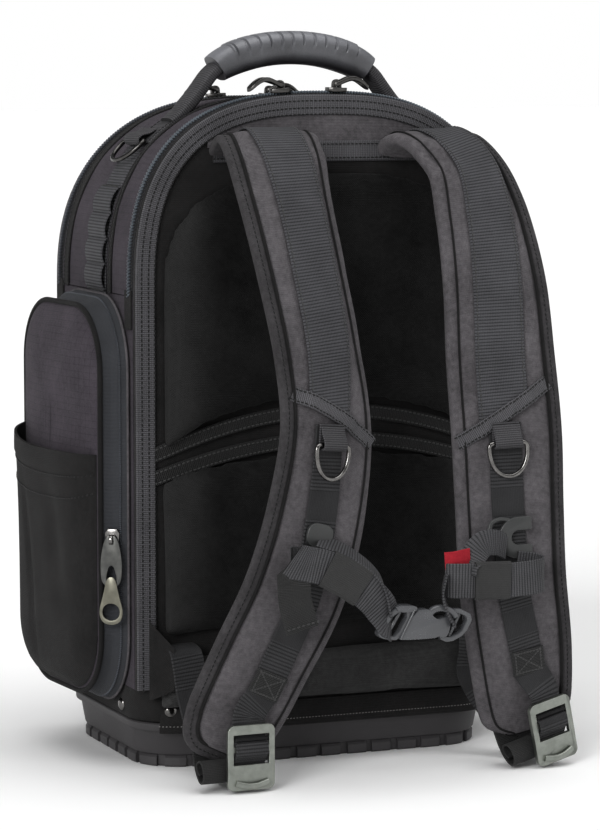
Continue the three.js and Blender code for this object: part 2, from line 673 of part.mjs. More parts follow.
// Side pockets stand out further at the front than at the rear
function pocketLean(x, y) {
  const out = Math.min(1, (x - POCKET_ROOT) / (POCKET_ZIP_END - POCKET_ROOT));
  return x + (POCKET_LEAN * out * (y - POCKET.rear)) / (POCKET.front - POCKET.rear);
}

// Side pocket: loops stand across X, an inset moves them towards the pocket's middle
function pocketLoop(side, inset, x) {
  const { rear, front, floor, top, radius } = POCKET;
  const loop = levelLoop(rear + inset, front - inset, floor + inset, top - inset, Math.max(2, radius - inset), 0);
  return loop.map((p) => vec(side * pocketLean(x, p.x), p.x, p.y));
}

function pocketDepth(y, z) {
  const { rear, front, floor, top, radius } = POCKET;
  const qy = Math.abs(y - (rear + front) / 2) - (front - rear) / 2 + radius;
  const qz = Math.abs(z - (floor + top) / 2) - (top - floor) / 2 + radius;
  const outside = Math.hypot(Math.max(qy, 0), Math.max(qz, 0));
  return radius - outside - Math.min(Math.max(qy, qz), 0);
}

function pocketFace(side) {
  const steps = POCKET_FACE_STEPS;
  const outer = steps.map((s) => pocketLoop(side, s.inset, s.x));
  const inner = steps.map((s, i) => pocketLoop(side, s.inset + CLOTH, i === 0 ? s.x : s.x - CLOTH));
  return skin([...inner.reverse(), ...outer]);
}

function pocketRing(side, from, to) {
  return skin([
    pocketLoop(side, from.inset + CLOTH, from.x),
    pocketLoop(side, to.inset + CLOTH, to.x),
    pocketLoop(side, to.inset, to.x),
    pocketLoop(side, from.inset, from.x),
  ], true);
}

// Slip pocket: a cloth wall that stands off the pocket's face and is open at its hem
function slipPocket(side) {
  const { rows, columns } = SLIP;
  const rear = POCKET.rear + SLIP.edge;
  const front = POCKET.front - SLIP.edge;
  const cornerRadius = POCKET.radius - SLIP.edge;
  const grid = (thick) => Array.from({ length: rows }, (_, i) => Array.from({ length: columns }, (_, j) => {
    const across = 0.5 - 0.5 * Math.cos((Math.PI * j) / (columns - 1));
    const y = THREE.MathUtils.lerp(rear, front, across);
    const fromEdge = Math.min(y - rear, front - y);
    const run = Math.max(0, cornerRadius - fromEdge);
    const corner = cornerRadius - Math.sqrt(cornerRadius ** 2 - run ** 2);
    const low = POCKET.floor + SLIP.edge + corner;
    const hem = SLIP.hem + SLIP.hemRise * (2 * across - 1) ** 2 * across;
    const height = i / (rows - 1);
    const z = THREE.MathUtils.lerp(low, hem, height);
    const inset = Math.max(0, Math.min(fromEdge, pocketDepth(y, z) - SLIP.edge));
    const stand = 1 - Math.exp(-inset / SLIP.reach);
    const x = SLIP.stand + (SLIP.bulge + SLIP.mouth * height ** 3) * stand;
    return vec(side * pocketLean(x - thick, y), y, z);
  }));
  return wall(grid(0), grid(WEBBING));
}

// Frames along a shoulder strap: a point, the way across, the way out from the back, and the width
function strapFrames(rows) {
  const curve = new THREE.CatmullRomCurve3(rows.map((r) => vec(r.x, r.y, r.z)), false, 'centripetal');
  return Array.from({ length: STRAP_STEPS + 1 }, (_, i) => {
    const share = i / STRAP_STEPS;
    const row = share * (rows.length - 1);
    const low = Math.min(rows.length - 2, Math.floor(row));
    const mix = (key) => THREE.MathUtils.lerp(rows[low][key], rows[low + 1][key], row - low);
    const along = curve.getTangent(share);
    const turned = vec(Math.cos(radians(mix('turn'))), Math.sin(radians(mix('turn'))), 0);
    const across = turned.addScaledVector(along, -turned.dot(along)).normalize();
    const out = along.clone().cross(across);
    return { at: curve.getPoint(share), along, across, out, width: mix('width'), webbing: mix('webbing') };
  });
}

function strapPad(frames) {
  const squared = (value) => Math.sign(value) * Math.abs(value) ** STRAP_SQUARENESS;
  return skin(frames.map((f) => Array.from({ length: STRAP_SIDES }, (_, k) => {
    const angle = (2 * Math.PI * (k + 0.5)) / STRAP_SIDES;
    const u = squared(Math.cos(angle)) * f.width / 2;
    const v = squared(Math.sin(angle)) * STRAP_THICK / 2;
    return f.at.clone().addScaledVector(f.across, u).addScaledVector(f.out, v);
  })));
}

// Webbing that lies on a strap's outer face
function strapWebbing(frames, width, gap, tail = []) {
  const lift = STRAP_THICK / 2 + gap;
  const loops = frames.map((f) => {
    const corner = (u, v) => f.at.clone()
      .addScaledVector(f.across, f.webbing + u * width / 2).addScaledVector(f.out, lift + v * WEBBING);
    return [corner(1, 0), corner(-1, 0), corner(-1, 1), corner(1, 1)];
  });
  return skin([...loops, ...tail]);
}

function frameAtHeight(frames, z) {
  const after = frames.findIndex((f) => f.at.z <= z && f.along.z < -0.3);
  const low = frames[after];
  const high = frames[after - 1];
  const mix = (z - low.at.z) / (high.at.z - low.at.z);
  const at = low.at.clone().lerp(high.at, mix);
  const across = low.across.clone().lerp(high.across, mix).normalize();
  const rough = low.along.clone().lerp(high.along, mix);
  const along = rough.addScaledVector(across, -rough.dot(across)).normalize();
  const webbing = THREE.MathUtils.lerp(low.webbing, high.webbing, mix);
  return { at, across, along, out: along.clone().cross(across), webbing };
}

// Ladder buckle: local X across, Z up, plate thickness along Y
function ladderBuckle() {
  const shape = roundedRectangle(new THREE.Shape(), LADDER.width, LADDER.height, LADDER.radius);
  const slot = (height, z) => {
    shape.holes.push(rectangle(new THREE.Path(), LADDER.slotWidth, height, 0, z));
  };
  slot(LADDER.upperSlot, LADDER.upperSlotZ);
  slot(LADDER.lowerSlot, LADDER.lowerSlotZ);
  return plate(shape, LADDER.thick, 4).rotateX(Math.PI / 2);
}

function ladderAxes(ladder) {
  const turn = new THREE.Quaternion().setFromAxisAngle(vec(0, 0, 1), radians(ladder.turn));
  const roll = new THREE.Quaternion().setFromAxisAngle(vec(0, 1, 0), radians(-ladder.roll));
  const turned = turn.multiply(roll);
  const [x, y, z] = [vec(1, 0, 0), vec(0, 1, 0), vec(0, 0, 1)].map((axis) => axis.applyQuaternion(turned));
  const at = (u, v, w) => vec(ladder.x, ladder.y, ladder.z)
    .addScaledVector(x, u).addScaledVector(y, v).addScaledVector(z, w);
  return { x, y, z, at };
}

// Narrow webbing: down the strap, behind the ladder buckle's top bar and out through its upper slot
function narrowWebbing(frames, ringZ, axes) {
  const top = ringZ + NARROW_START_ABOVE_RING;
  const below = frames.filter((f) => f.at.z < top && f.at.z > NARROW_END_Z);
  const onStrap = [frameAtHeight(frames, top), ...below];
  const half = NARROW_WEBBING / 2;
  const behind = LADDER.thick / 2 + WEBBING + GAP;
  const loop = (inner, outer) => [
    axes.at(half, inner.y, inner.z), axes.at(-half, inner.y, inner.z),
    axes.at(-half, outer.y, outer.z), axes.at(half, outer.y, outer.z),
  ];
  const level = (z) => loop({ y: behind, z }, { y: behind - WEBBING, z });
  const bar = LADDER.upperSlotZ;
  return strapWebbing(onStrap, NARROW_WEBBING, GAP, [
    level(bar + LADDER.upperSlot + 5.5),
    level(bar + LADDER.upperSlot - 1.5),
    loop({ y: behind, z: bar + 1.6 }, { y: behind - WEBBING, z: bar + 3 }),
    loop({ y: -behind, z: bar }, { y: -behind, z: bar + 2 }),
  ]);
}

// Adjuster webbing: out of the seam between two back pads, over the lower one and into the ladder buckle
function adjusterWebbing(anchor, axes) {
  const under = LADDER.thick / 2 + WEBBING / 2 + GAP;
  const side = Math.sign(anchor.x);
  const route = smooth([
    anchor,
    ...ANCHOR_RUN.map(([x, y, z]) => anchor.clone().add(vec(side * x, y, z))),
    anchor.clone().lerp(axes.at(0, 30, -22), 0.55).add(vec(0, 0, -20)),
    axes.at(0, 34, -19),
    axes.at(0, 16, -18),
    axes.at(0, under + 3, -8),
    axes.at(0, under + 0.3, 7),
  ], 22);
  return strip(route, axes.x, NARROW_WEBBING, WEBBING);
}

function shoulderStrap(name, rows, ringZ, ladder, anchorX) {
  const frames = strapFrames(rows);
  piece(`${name}_strap_pad`, strapPad(frames), GREY_CLOTH);
  const wide = frames.filter((f, i) => i / STRAP_STEPS >= WIDE_TOP && f.at.z > ringZ + WIDE_END_ABOVE_RING);
  piece(`${name}_wide_webbing`, strapWebbing(wide, WIDE_WEBBING, 3 * GAP), WEB_BLACK);

  const axes = ladderAxes(ladder);
  piece(`${name}_narrow_webbing`, narrowWebbing(frames, ringZ, axes), WEB_BLACK);

  const frame = frameAtHeight(frames, ringZ);
  const seat = frame.at.clone().addScaledVector(frame.across, frame.webbing)
    .addScaledVector(frame.out, STRAP_THICK / 2 + 2 * GAP + WEBBING + TAB_LIFT);
  const up = frame.along.clone().negate();
  const inward = frame.out.clone().negate();
  place(piece(`${name}_ring_tab`, ringTab(STRAP_RING), WEB_BLACK), seat, frame.across, inward, up);
  const ring = piece(`${name}_strap_ring`, dRing(STRAP_RING.width, STRAP_RING.drop), DARK_STEEL);
  place(ring, seat, frame.across, inward, up);

  place(piece(`${name}_ladder_buckle`, ladderBuckle(), ALUMINIUM), axes.at(0, 0, 0), axes.x, axes.y, axes.z);
  const adjuster = adjusterWebbing(vec(anchorX, ANCHOR.y, ANCHOR.z), axes);
  piece(`${name}_adjuster_webbing`, adjuster, WEB_BLACK);
}

// Sternum strap: side-release buckle, seen fastened; local X along it, Z up, thickness along Y
function buckleHalf(side) {
  const half = BUCKLE.height / 2;
  const end = BUCKLE.length / 2;
  const upper = [
    [GAP / 2, half * BUCKLE.waist],
    [end - BUCKLE.shoulder, half],
    [end, half - BUCKLE.corner],
  ];
  const lower = upper.map(([x, y]) => [x, -y]).reverse();
  const shape = new THREE.Shape([...upper, ...lower].map(([x, y]) => new THREE.Vector2(side * x, y)));
  const slot = new THREE.Path();
  rectangle(slot, BUCKLE.slotWidth, BUCKLE.slotHeight, side * (end - BUCKLE.slotFromEnd));
  shape.holes.push(slot);
  return plate(shape, BUCKLE.thick).rotateX(Math.PI / 2);
}

function sternumStrap(leftFrames, rightFrames) {
  const fall = radians(BUCKLE.fall);
  const along = vec(Math.cos(fall), 0, -Math.sin(fall));
  const up = vec(Math.sin(fall), 0, Math.cos(fall));
  const middle = vec(BUCKLE.x, BUCKLE.y, BUCKLE.z);
  const onBuckle = (u, v) => middle.clone().addScaledVector(along, u).add(vec(0, v, 0));
  [['socket', -1], ['prong', 1]].forEach(([name, side]) => {
    place(piece(`sternum_buckle_${name}`, buckleHalf(side), PLASTIC), middle, along, vec(0, 1, 0), up);
  });
  const slot = BUCKLE.length / 2 - BUCKLE.slotFromEnd;
  const face = BUCKLE.thick / 2 + WEBBING / 2 + GAP;
  const onStrap = (frames, z, shift, lift) => {
    const frame = frameAtHeight(frames, z);
    return frame.at.clone().addScaledVector(frame.across, frame.webbing + shift)
      .addScaledVector(frame.out, STRAP_THICK / 2 + 2 * GAP + 1.5 * WEBBING + lift);
  };
  const overSlider = STERNUM_SLIDER.lift + STERNUM_SLIDER.thick - GAP;
  const leftRoute = [
    onStrap(leftFrames, 132, 0, 1), onStrap(leftFrames, 128, 20, 2.2),
    onBuckle(-slot - 16, face + 3), onBuckle(-slot - 3.2, face + 0.8),
    onBuckle(-slot + 0.8, face - 2.8), onBuckle(-slot + 0.8, 2.8 - face), onBuckle(-slot - 3.2, -face - 0.6),
    onBuckle(-slot - 12, -face - 1.4), vec(-25, -208.5, 131), vec(-44, -206, 152), vec(-70, -201.4, 163),
  ];
  const rightRoute = [
    onStrap(rightFrames, 156, -2, overSlider), onStrap(rightFrames, 151, 14, overSlider + 1),
    vec(124, -198, 147), vec(112, -203.5, 144), vec(92, -206.5, 134), onBuckle(slot + 13, -face - 1.2),
    onBuckle(slot + 3.2, -face - 0.6), onBuckle(slot - 0.8, 2.8 - face),
    onBuckle(slot - 0.8, face - 1),
  ];
  const tail = [vec(-66, -204, 165), vec(-69, -205, 149), vec(-68, -205, 133), vec(-63, -203.5, 117)];
  const tailStrip = strip(tail, vec(1, 0, 0), NARROW_WEBBING, WEBBING);
  const leftStrip = strip(leftRoute, up, NARROW_WEBBING, WEBBING);
  piece('left_sternum_webbing', joined(leftStrip, tailStrip), WEB_BLACK);
  piece('right_sternum_webbing', strip(rightRoute, up, NARROW_WEBBING, WEBBING), WEB_BLACK);
  STERNUM_SLIDERS.forEach((row) => sternumSlider(row, row.name === 'left' ? leftFrames : rightFrames));
}

// Sternum slider: a slotted plate on a strap's narrow webbing
function sternumSlider({ name, shift, z, width, height }, frames) {
  const frame = frameAtHeight(frames, z);
  const shape = roundedRectangle(new THREE.Shape(), width, height, STERNUM_SLIDER.radius);
  const slot = rectangle(new THREE.Path(), width * STERNUM_SLIDER.slotWidth, height * STERNUM_SLIDER.slotHeight);
  shape.holes.push(slot);
  const lift = STRAP_THICK / 2 + WEBBING + STERNUM_SLIDER.lift + STERNUM_SLIDER.thick / 2;
  const at = frame.at.clone().addScaledVector(frame.across, frame.webbing + shift).addScaledVector(frame.out, lift);
  const mesh = piece(`${name}_sternum_slider`, plate(shape, STERNUM_SLIDER.thick, 4), PLASTIC);
  place(mesh, at, frame.across, frame.along.clone().negate(), frame.out);
}

// Webbing with raised loops up the side, its ring tab and its ring
function sideWebbing(name, side) {
  const arch = archAt(SIDE_Y);
  const run = DAISY.end - DAISY.start;
  const rows = Array.from({ length: DAISY.steps + 1 }, (_, i) => (run * i) / DAISY.steps);
  const grid = (rise) => rows.map((height) => {
    const loop = Math.abs(Math.sin((Math.PI * DAISY.loops * height) / run));
    const x = side * archX(arch, DAISY.start + height, -2 * GAP - rise * (WEBBING + DAISY.hump * loop));
    return [-0.5, 0.5].map((u) => vec(x, SIDE_Y + u * SIDE_WEBBING_WIDTH, DAISY.start + height));
  });
  piece(`${name}_side_webbing`, wall(grid(1), grid(0)), WEB_BLACK);

  const onSide = (z) => vec(side * archX(arch, z, 0), SIDE_Y, z);
  const up = onSide(SIDE_RING_Z + 8).sub(onSide(SIDE_RING_Z)).normalize();
  const inward = vec(-side * up.z, 0, side * up.x);
  const across = inward.clone().cross(up);
  const seat = onSide(SIDE_RING_Z).addScaledVector(inward, -TAB_LIFT - WEBBING);
  place(piece(`${name}_side_ring_tab`, ringTab(SIDE_RING), WEB_BLACK), seat, across, inward, up);
  const ring = piece(`${name}_side_ring`, dRing(SIDE_RING.width, SIDE_RING.drop), DARK_STEEL);
  place(ring, seat, across, inward, up);
}

function sidePocket(name, side) {
  const root = { inset: 0, x: POCKET_ROOT };
  const seam = { inset: 0, x: POCKET_ZIP_ROOT };
  const zipStart = { inset: 0.5, x: POCKET_ZIP_ROOT + GAP };
  const zipEnd = { inset: POCKET_ZIP_INSET, x: POCKET_ZIP_END };
  piece(`${name}_pocket_gusset`, pocketRing(side, root, seam), GREY_CLOTH);
  piece(`${name}_pocket_zip`, pocketRing(side, zipStart, zipEnd), ZIP_TAPE);
  piece(`${name}_pocket_face`, pocketFace(side), GREY_CLOTH);
  piece(`${name}_slip_pocket`, slipPocket(side), BLACK_CLOTH);
  const run = vec(side * (zipEnd.x - zipStart.x), zipEnd.inset - zipStart.inset, 0).normalize();
  const out = vec(side * run.y, -Math.abs(run.x), 0);
  const onZip = (a, b) => THREE.MathUtils.lerp(a, b, POCKET_SLIDER_SHARE);
  const x = onZip(zipStart.x, zipEnd.x);
  const middle = vec(side * x, POCKET.rear + onZip(zipStart.inset, zipEnd.inset), POCKET_SLIDER_Z)
    .addScaledVector(out, -COIL.rise);
  sliderWithPull(`${name}_pocket`, middle, vec(0, 0, -1), out, POCKET_PULL);
}

// A main zip's slider, with its sole on the flats of the arch
function mainZipSlider({ name, start, arch, x, side }) {
  const line = archOutline(arch, 0, [ARCH_START]);
  const onZip = (place) => {
    const next = line.findIndex((point) => point[0] >= place);
    const [[x0, z0], [x1, z1]] = [line[next - 1], line[next]];
    return vec(place, 0, THREE.MathUtils.mapLinear(place, x0, x1, z0, z1));
  };
  const reach = SLIDER.length / 2;
  const along = onZip(x + reach).sub(onZip(x - reach)).normalize().multiplyScalar(side);
  const out = vec(-along.z * side, 0, along.x * side);
  const at = vec(x, start + ZIP_WIDTH / 2, onZip(x).z);
  sliderWithPull(name, at, along, out, ZIP_PULL);
}

piece('base_tray', baseTray(), PLASTIC);
piece('bottom_band', bottomBand(), BLACK_CLOTH);
piece('back_panel', backPanel(), BLACK_CLOTH);
piece('back_border', backBorder(), BLACK_CLOTH);
piece('yoke_tape', yokeTape(), WEB_BLACK);
PADS.forEach((pad) => piece(pad.name, padCushion(pad), BLACK_CLOTH));
piece('rear_zip', zipBand(REAR_ARCH, REAR_ZIP), ZIP_TAPE);
piece('mid_gusset', midGusset(), GREY_CLOTH);
piece('front_zip', zipBand(FRONT_ARCH, FRONT_ZIP), ZIP_TAPE);
piece('front_shell', frontShell(), GREY_CLOTH);
ZIP_SLIDERS.forEach(mainZipSlider);

const handle = handleRoute();
piece('handle_strap', strip(handle, vec(0, 1, 0), HANDLE_STRAP.width, HANDLE_STRAP.thick), WEB_BLACK);
piece('handle_grip', handleGrip(handle), RUBBER);

[['left', -1], ['right', 1]].forEach(([name, side]) => {
  sideWebbing(name, side);
  sidePocket(name, side);
});

shoulderStrap('left', LEFT_STRAP, LEFT_RING_Z, LEFT_LADDER, -ANCHOR.x);
shoulderStrap('right', RIGHT_STRAP, RIGHT_RING_Z, RIGHT_LADDER, ANCHOR.x);
sternumStrap(strapFrames(LEFT_STRAP), strapFrames(RIGHT_STRAP));

export default bag;
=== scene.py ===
"""Looks of a tool backpack that stands on its moulded base, with its shoulder straps towards -Y.

The pieces are drawn in millimetres and set down in metres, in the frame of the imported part.
"""
import json
import math

import bmesh
import bpy
import numpy as np
from mathutils import Matrix, Vector


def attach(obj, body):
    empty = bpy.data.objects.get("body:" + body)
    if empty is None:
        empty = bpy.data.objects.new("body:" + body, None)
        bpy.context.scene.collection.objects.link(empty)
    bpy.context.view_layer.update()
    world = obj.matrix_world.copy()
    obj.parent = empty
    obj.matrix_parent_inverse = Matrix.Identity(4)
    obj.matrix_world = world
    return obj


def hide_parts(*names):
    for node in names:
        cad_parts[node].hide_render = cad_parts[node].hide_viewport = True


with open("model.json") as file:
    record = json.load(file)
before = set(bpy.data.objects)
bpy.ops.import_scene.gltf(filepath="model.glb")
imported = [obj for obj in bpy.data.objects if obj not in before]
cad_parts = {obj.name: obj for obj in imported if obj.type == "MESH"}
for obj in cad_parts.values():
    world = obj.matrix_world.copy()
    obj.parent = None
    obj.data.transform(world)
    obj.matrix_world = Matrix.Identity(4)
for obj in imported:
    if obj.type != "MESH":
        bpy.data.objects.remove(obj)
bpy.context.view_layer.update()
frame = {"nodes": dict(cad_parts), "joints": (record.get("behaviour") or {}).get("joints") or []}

MM = 0.001

# Camera, fitted to the photograph
VIEW = {"azimuth": -22.1, "elevation": 6.0, "distance": 2577.5, "target": (16.04, 0.0, 246.47)}
FOCAL_PX = 3391.0
PHOTO_HEIGHT_PX = 830.0
SENSOR = 36.0

# Studio: a bright horizon under a dim ceiling, and soft lamps given by way, spread in degrees and power
OVERHEAD = 0.14
HORIZON = {"level": 0.19, "soft": 0.08}
CONTRAST = 0.86
LAMPS = (
    ("key", (-0.80, -0.75, 0.50), 28.0, 2.0),
    ("fill", (0.80, -0.60, 0.60), 50.0, 0.5),
    ("top", (0.05, -0.10, 1.0), 60.0, 2.1),
)

# Body
GAP = 0.3
CLOTH = 2.0
WEB = 1.6
TAPE_STEP = 4.0
SHORT_STITCH = 3.2
STITCH = 3.4
LONG_STITCH = 3.6
HALF_WIDTH = 146.0
ARCH_START = 346.0
REAR_ARCH = (144.0, 2.7)
FRONT_ARCH = (139.0, 2.4)
BODY_FLOOR = 60.0
PANEL_BACK = -84.0
PANEL_FRONT = -80.0
ZIP_WIDTH = 9.0
REAR_ZIP = PANEL_FRONT + GAP
FRONT_ZIP = 80.0
TOOTH_PITCH = 2.3
BORDER = {"width": 15.0, "thick": 2.2}
BASE_RIM = 34.0
BASE_FRONT = 9.0
BASE_FOOT = {"x": 134.6, "y": 80.0, "radius": 36.0}
BAND = {"half": 141.5, "front": 87.0, "radius": 34.0, "top_radius": 12.0, "puff": 0.8}
CROSS_TAPE_REACH = 132.0
YOKE = {"half": 86.0, "z": 449.0, "cloth_half": 90.0, "cloth_floor": 452.0}
PAD_SPREAD = 1.062
LUG = {"pitch": 20.5, "width": 14.5, "height": 8.0, "depth": 2.6}

# Carry handle and side webbing
HANDLE_Y = -20.0
HANDLE_TAB = {"start": 84.0, "end": 114.0}
GRIP = {"half": 60.0, "panel": 47.0, "across": 15.5, "up": 12.0, "groove_pitch": 8.4, "sides": 40}
SIDE_Y = -7.0
SIDE_RING_Z = 452.0
SIDE_WIDTH = 38.0
DAISY = {"start": ARCH_START + 2, "end": SIDE_RING_Z - 30, "loops": 4, "hump": 2.4}

# Side pockets
POCKET = {"rear": -73.0, "front": 84.0, "floor": 46.0, "top": 343.0, "radius": 52.0}
POCKET_LEAN = 10.0
POCKET_ROOT = HALF_WIDTH + GAP
POCKET_LEAN_END = 166.0
POCKET_ZIP = {"root": 148.4, "end": 159.0, "inset": 5.0}
SLIP = {"edge": 8.5, "hem": 231.0, "rise": 11.0, "stand": 174.8, "bulge": 8.0, "reach": 14.0, "mouth": 5.0,
        "turned": 0.9}

# Shoulder straps: x, y, z of the middle line, then width, turn in degrees and shift of the webbing
STRAP_THICK = 14.0
STRAP_ROWS = {
    "left": (
        (-56, -91, 449, 70, 0, 2), (-56, -103, 456, 72, -2, 2), (-56, -116, 458, 74, -4, 3),
        (-56, -131, 446, 76, 2, 5), (-53, -144, 413, 76, 10, 7), (-46, -157, 363, 75, 13, 6),
        (-38, -166, 308, 76, 16, 4), (-34, -172, 254, 82, 18, -4), (-43, -175, 195, 80, 8, 0),
        (-59, -174, 140, 82, 5, 5), (-81, -170, 95, 80, 3, 8), (-101, -164, 53, 76, 2, 8),
        (-115.5, -158.5, 23.5, 62, 0, 8),
    ),
    "right": (
        (74, -91, 449, 68, 0, 6), (74.5, -103, 456, 70, 4, 6), (82, -116, 453, 72, 12, 5),
        (93, -131, 436, 73, 14, 4), (99.5, -144, 404, 76, 5, 2), (103.5, -158, 355, 80, -2, -1),
        (105, -166, 300, 83, -5, -3), (108, -171, 245, 84, -6, -4), (109, -174, 195, 83, -5, -4),
        (112, -174, 140, 83, -3, -3), (121, -169, 85, 82, 0, 1), (128, -163, 45, 74, 0, 6),
        (132.5, -158.5, 22.5, 58, 0, 6),
    ),
}
RING_Z = {"left": 244.0, "right": 240.0}
SIDE = {"left": -1, "right": 1}
WIDE_WEB = 38.0
WIDE_START = 0.05
NARROW_WEB = 25.0
NARROW_FOOT_Z = 74.0
BOX_STITCH = {"z": 80.0, "across": 10.0, "along": 7.5, "patch": 9.5}
CHEST_SLIDER_Z = {"left": 182.0, "right": 172.0}

# Foot of the padded strap and bend of its flange, as shares of the strap, and the bend's reach across in mm
STRAP_FOOT = 0.982
FLANGE = {"width": 13.0, "thick": 6.4, "overlap": 4.0, "bend": 0.934, "bend_run": 0.055, "foot": 0.989,
          "corner": 17.0}

# Slanting tape: insets from the strap's edges, and heights over the ring
SLANT = {"outer": 9.0, "insets": 12.0, "top": 40.0, "drop": 38.0, "middle": 21.0}

# Ladder buckles, and the webbing that runs to them from the back
LADDERS = {
    "left": {"at": (-94.5, -180.0, 25.5), "turn": 2.0, "roll": 0.0},
    "right": {"at": (142.0, -181.0, 27.5), "turn": 10.0, "roll": 12.0},
}
LADDER = {"thick": 3.4, "slot": 8.0, "slot_z": 12.5}
ANCHOR = {"x": 115.0, "y": PANEL_BACK - GAP, "z": 92.0}
ANCHOR_RUN = ((0.0, -10.5, 0.0), (-0.5, -17.5, -3.0), (-2.0, -20.5, -14.0), (-4.0, -22.0, -32.0))

# Rings
WIRE = 4.0
WIRE_LOOK = 3.4
STRAP_RING = {"width": 29.0, "drop": 24.0, "tab": 13.0}
SIDE_RING = {"width": 40.0, "drop": 22.0, "tab": 13.0}

# Sternum buckle
BUCKLE_AT = (28.5, -203.0, 117.0)

# Ways
REARWARD = Vector((0, -1, 0))
FRONTWARD = Vector((0, 1, 0))
DOWN = Vector((0, 0, -1))


# Lines and frames

def clamped(value):
    return min(1.0, max(0.0, value))


def spline(points, share, even=False):
    """Point of a smooth curve through points, as share goes from 0 to 1."""
    last = len(points) - 1
    at = clamped(share) * last
    i = min(int(at), last - 1)
    w = at - i
    p1, p2 = points[i], points[i + 1]
    p0 = points[i - 1] if i > 0 else 2 * p1 - p2
    p3 = points[i + 2] if i + 2 <= last else 2 * p2 - p1
    spans = ((p0, p1), (p1, p2), (p2, p3))
    d0, d1, d2 = (1.0 if even else max((b - a).length, 1e-4) ** 0.5 for a, b in spans)
    t1 = ((p1 - p0) / d0 - (p2 - p0) / (d0 + d1) + (p2 - p1) / d1) * d1
    t2 = ((p2 - p1) / d1 - (p3 - p1) / (d1 + d2) + (p3 - p2) / d2) * d1
    bend = 3 * (p2 - p1) - 2 * t1 - t2
    return p1 + w * t1 + w * w * bend + w ** 3 * (2 * (p1 - p2) + t1 + t2)


def smooth_line(points, steps):
    return [spline(points, i / steps) for i in range(steps + 1)]


def basis(at, across, out, along):
    matrix = Matrix((across, out, along)).transposed().to_4x4()
    matrix.translation = at
    return matrix


def frames_along(points, outs, pitch, closed=False):
    """Evenly spaced frames on a line: X across it, Y out, Z along. outs is a vector, a list or a rule."""
    line = points + points[:1] if closed else points
    places = np.array([tuple(p) for p in line])
    run = np.concatenate(([0.0], np.cumsum(np.linalg.norm(np.diff(places, axis=0), axis=1))))
    count = max(2, round(run[-1] / pitch))
    stops = np.linspace(0.0, run[-1], count + 1)
    spots = [Vector(p) for p in np.stack([np.interp(stops, run, places[:, k]) for k in range(3)], axis=1)]
    if isinstance(outs, list):
        ways = outs + outs[:1] if closed else outs
        values = np.array([tuple(p) for p in ways])
        turned = np.stack([np.interp(stops, run, values[:, k]) for k in range(3)], axis=1)
    frames = []
    for i, spot in enumerate(spots[:count] if closed else spots):
        before = spots[i - 1] if i > 0 else spots[count - 1 if closed else 0]
        after = spots[i + 1] if i < count else spots[count]
        along = (after - before).normalized()
        if isinstance(outs, list):
            out = Vector(turned[i])
        else:
            out = outs.copy() if isinstance(outs, Vector) else outs(along)
        out = (out - along * out.dot(along)).normalized()
        frames.append(basis(spot, out.cross(along), out, along))
    return frames


def shifted(frames, u, v):
    """The same frames moved across and out."""
    return [m @ Matrix.Translation((u, v, 0.0)) for m in frames]


def seam_rows(points, outs, pitch, shifts, lift):
    """Rows of frames beside a line, one row for each shift across it."""
    frames = frames_along(points, outs, pitch)
    return [m for shift in shifts for m in shifted(frames, shift, lift)]


def over_the_top(along):
    """Out from the bag for a line that runs from its left foot over the top to its right foot."""
    return Vector((-along.z, 0.0, along.x))


def arch_at(y):
    share = clamped((y - REAR_ZIP) / (FRONT_ZIP - REAR_ZIP))
    return tuple(a + (b - a) * share for a, b in zip(REAR_ARCH, FRONT_ARCH))


def arch_z(arch, x, inset):
    rise, power = arch
    return ARCH_START + (rise - inset) * (1 - abs(x / (HALF_WIDTH - inset)) ** power) ** (1 / power)


def arch_x(arch, z, inset):
    rise, power = arch
    return (HALF_WIDTH - inset) * (1 - (max(0.0, z - ARCH_START) / (rise - inset)) ** power) ** (1 / power)


def arch_point(arch, angle, inset, y):
    """Point of the arched outline; angle 180 is its left end and 0 its right end."""
    rise, power = arch
    across, up = math.cos(math.radians(angle)), max(0.0, math.sin(math.radians(angle)))
    x = (HALF_WIDTH - inset) * math.copysign(abs(across) ** (2 / power), across)
    return Vector((x, y, ARCH_START + (rise - inset) * up ** (2 / power)))


def arch_line(arch, inset, low, y, steps=160):
    points = [arch_point(arch, 180 - 180 * i / steps, inset, y) for i in range(steps + 1)]
    if low < ARCH_START:
        half = HALF_WIDTH - inset
        points = [Vector((-half, y, low))] + points + [Vector((half, y, low))]
    return points


def arch_loop(arch, inset, low, y, steps=64, side_steps=10):
    """Closed arch outline with a level floor, its points in the same order for every inset."""
    half = HALF_WIDTH - inset
    rise = [low + (ARCH_START - low) * i / side_steps for i in range(side_steps)]
    left = [Vector((-half, y, z)) for z in rise]
    right = [Vector((half, y, z)) for z in reversed(rise)]
    top = [arch_point(arch, 180 - 180 * i / steps, inset, y) for i in range(steps + 1)]
    return left + top + right


def round_corner_loop(low, high, radius, arc=9, runs=(14, 10)):
    """Rounded rectangle as pairs of numbers, with equal counts on its sides and arcs."""
    (x0, y0), (x1, y1) = low, high
    corners = ((x1 - radius, y1 - radius, 0), (x0 + radius, y1 - radius, 90),
               (x0 + radius, y0 + radius, 180), (x1 - radius, y0 + radius, 270))
    arcs = []
    for cx, cy, start in corners:
        angles = [math.radians(start + 90 * i / arc) for i in range(arc + 1)]
        arcs.append([(cx + radius * math.cos(a), cy + radius * math.sin(a)) for a in angles])
    loop = []
    for k in range(4):
        (ax, ay), (bx, by) = arcs[k][-1], arcs[(k + 1) % 4][0]
        run = runs[k % 2]
        between = [(ax + (bx - ax) * i / run, ay + (by - ay) * i / run) for i in range(1, run)]
        loop += arcs[k] + between
    return loop


# Meshes

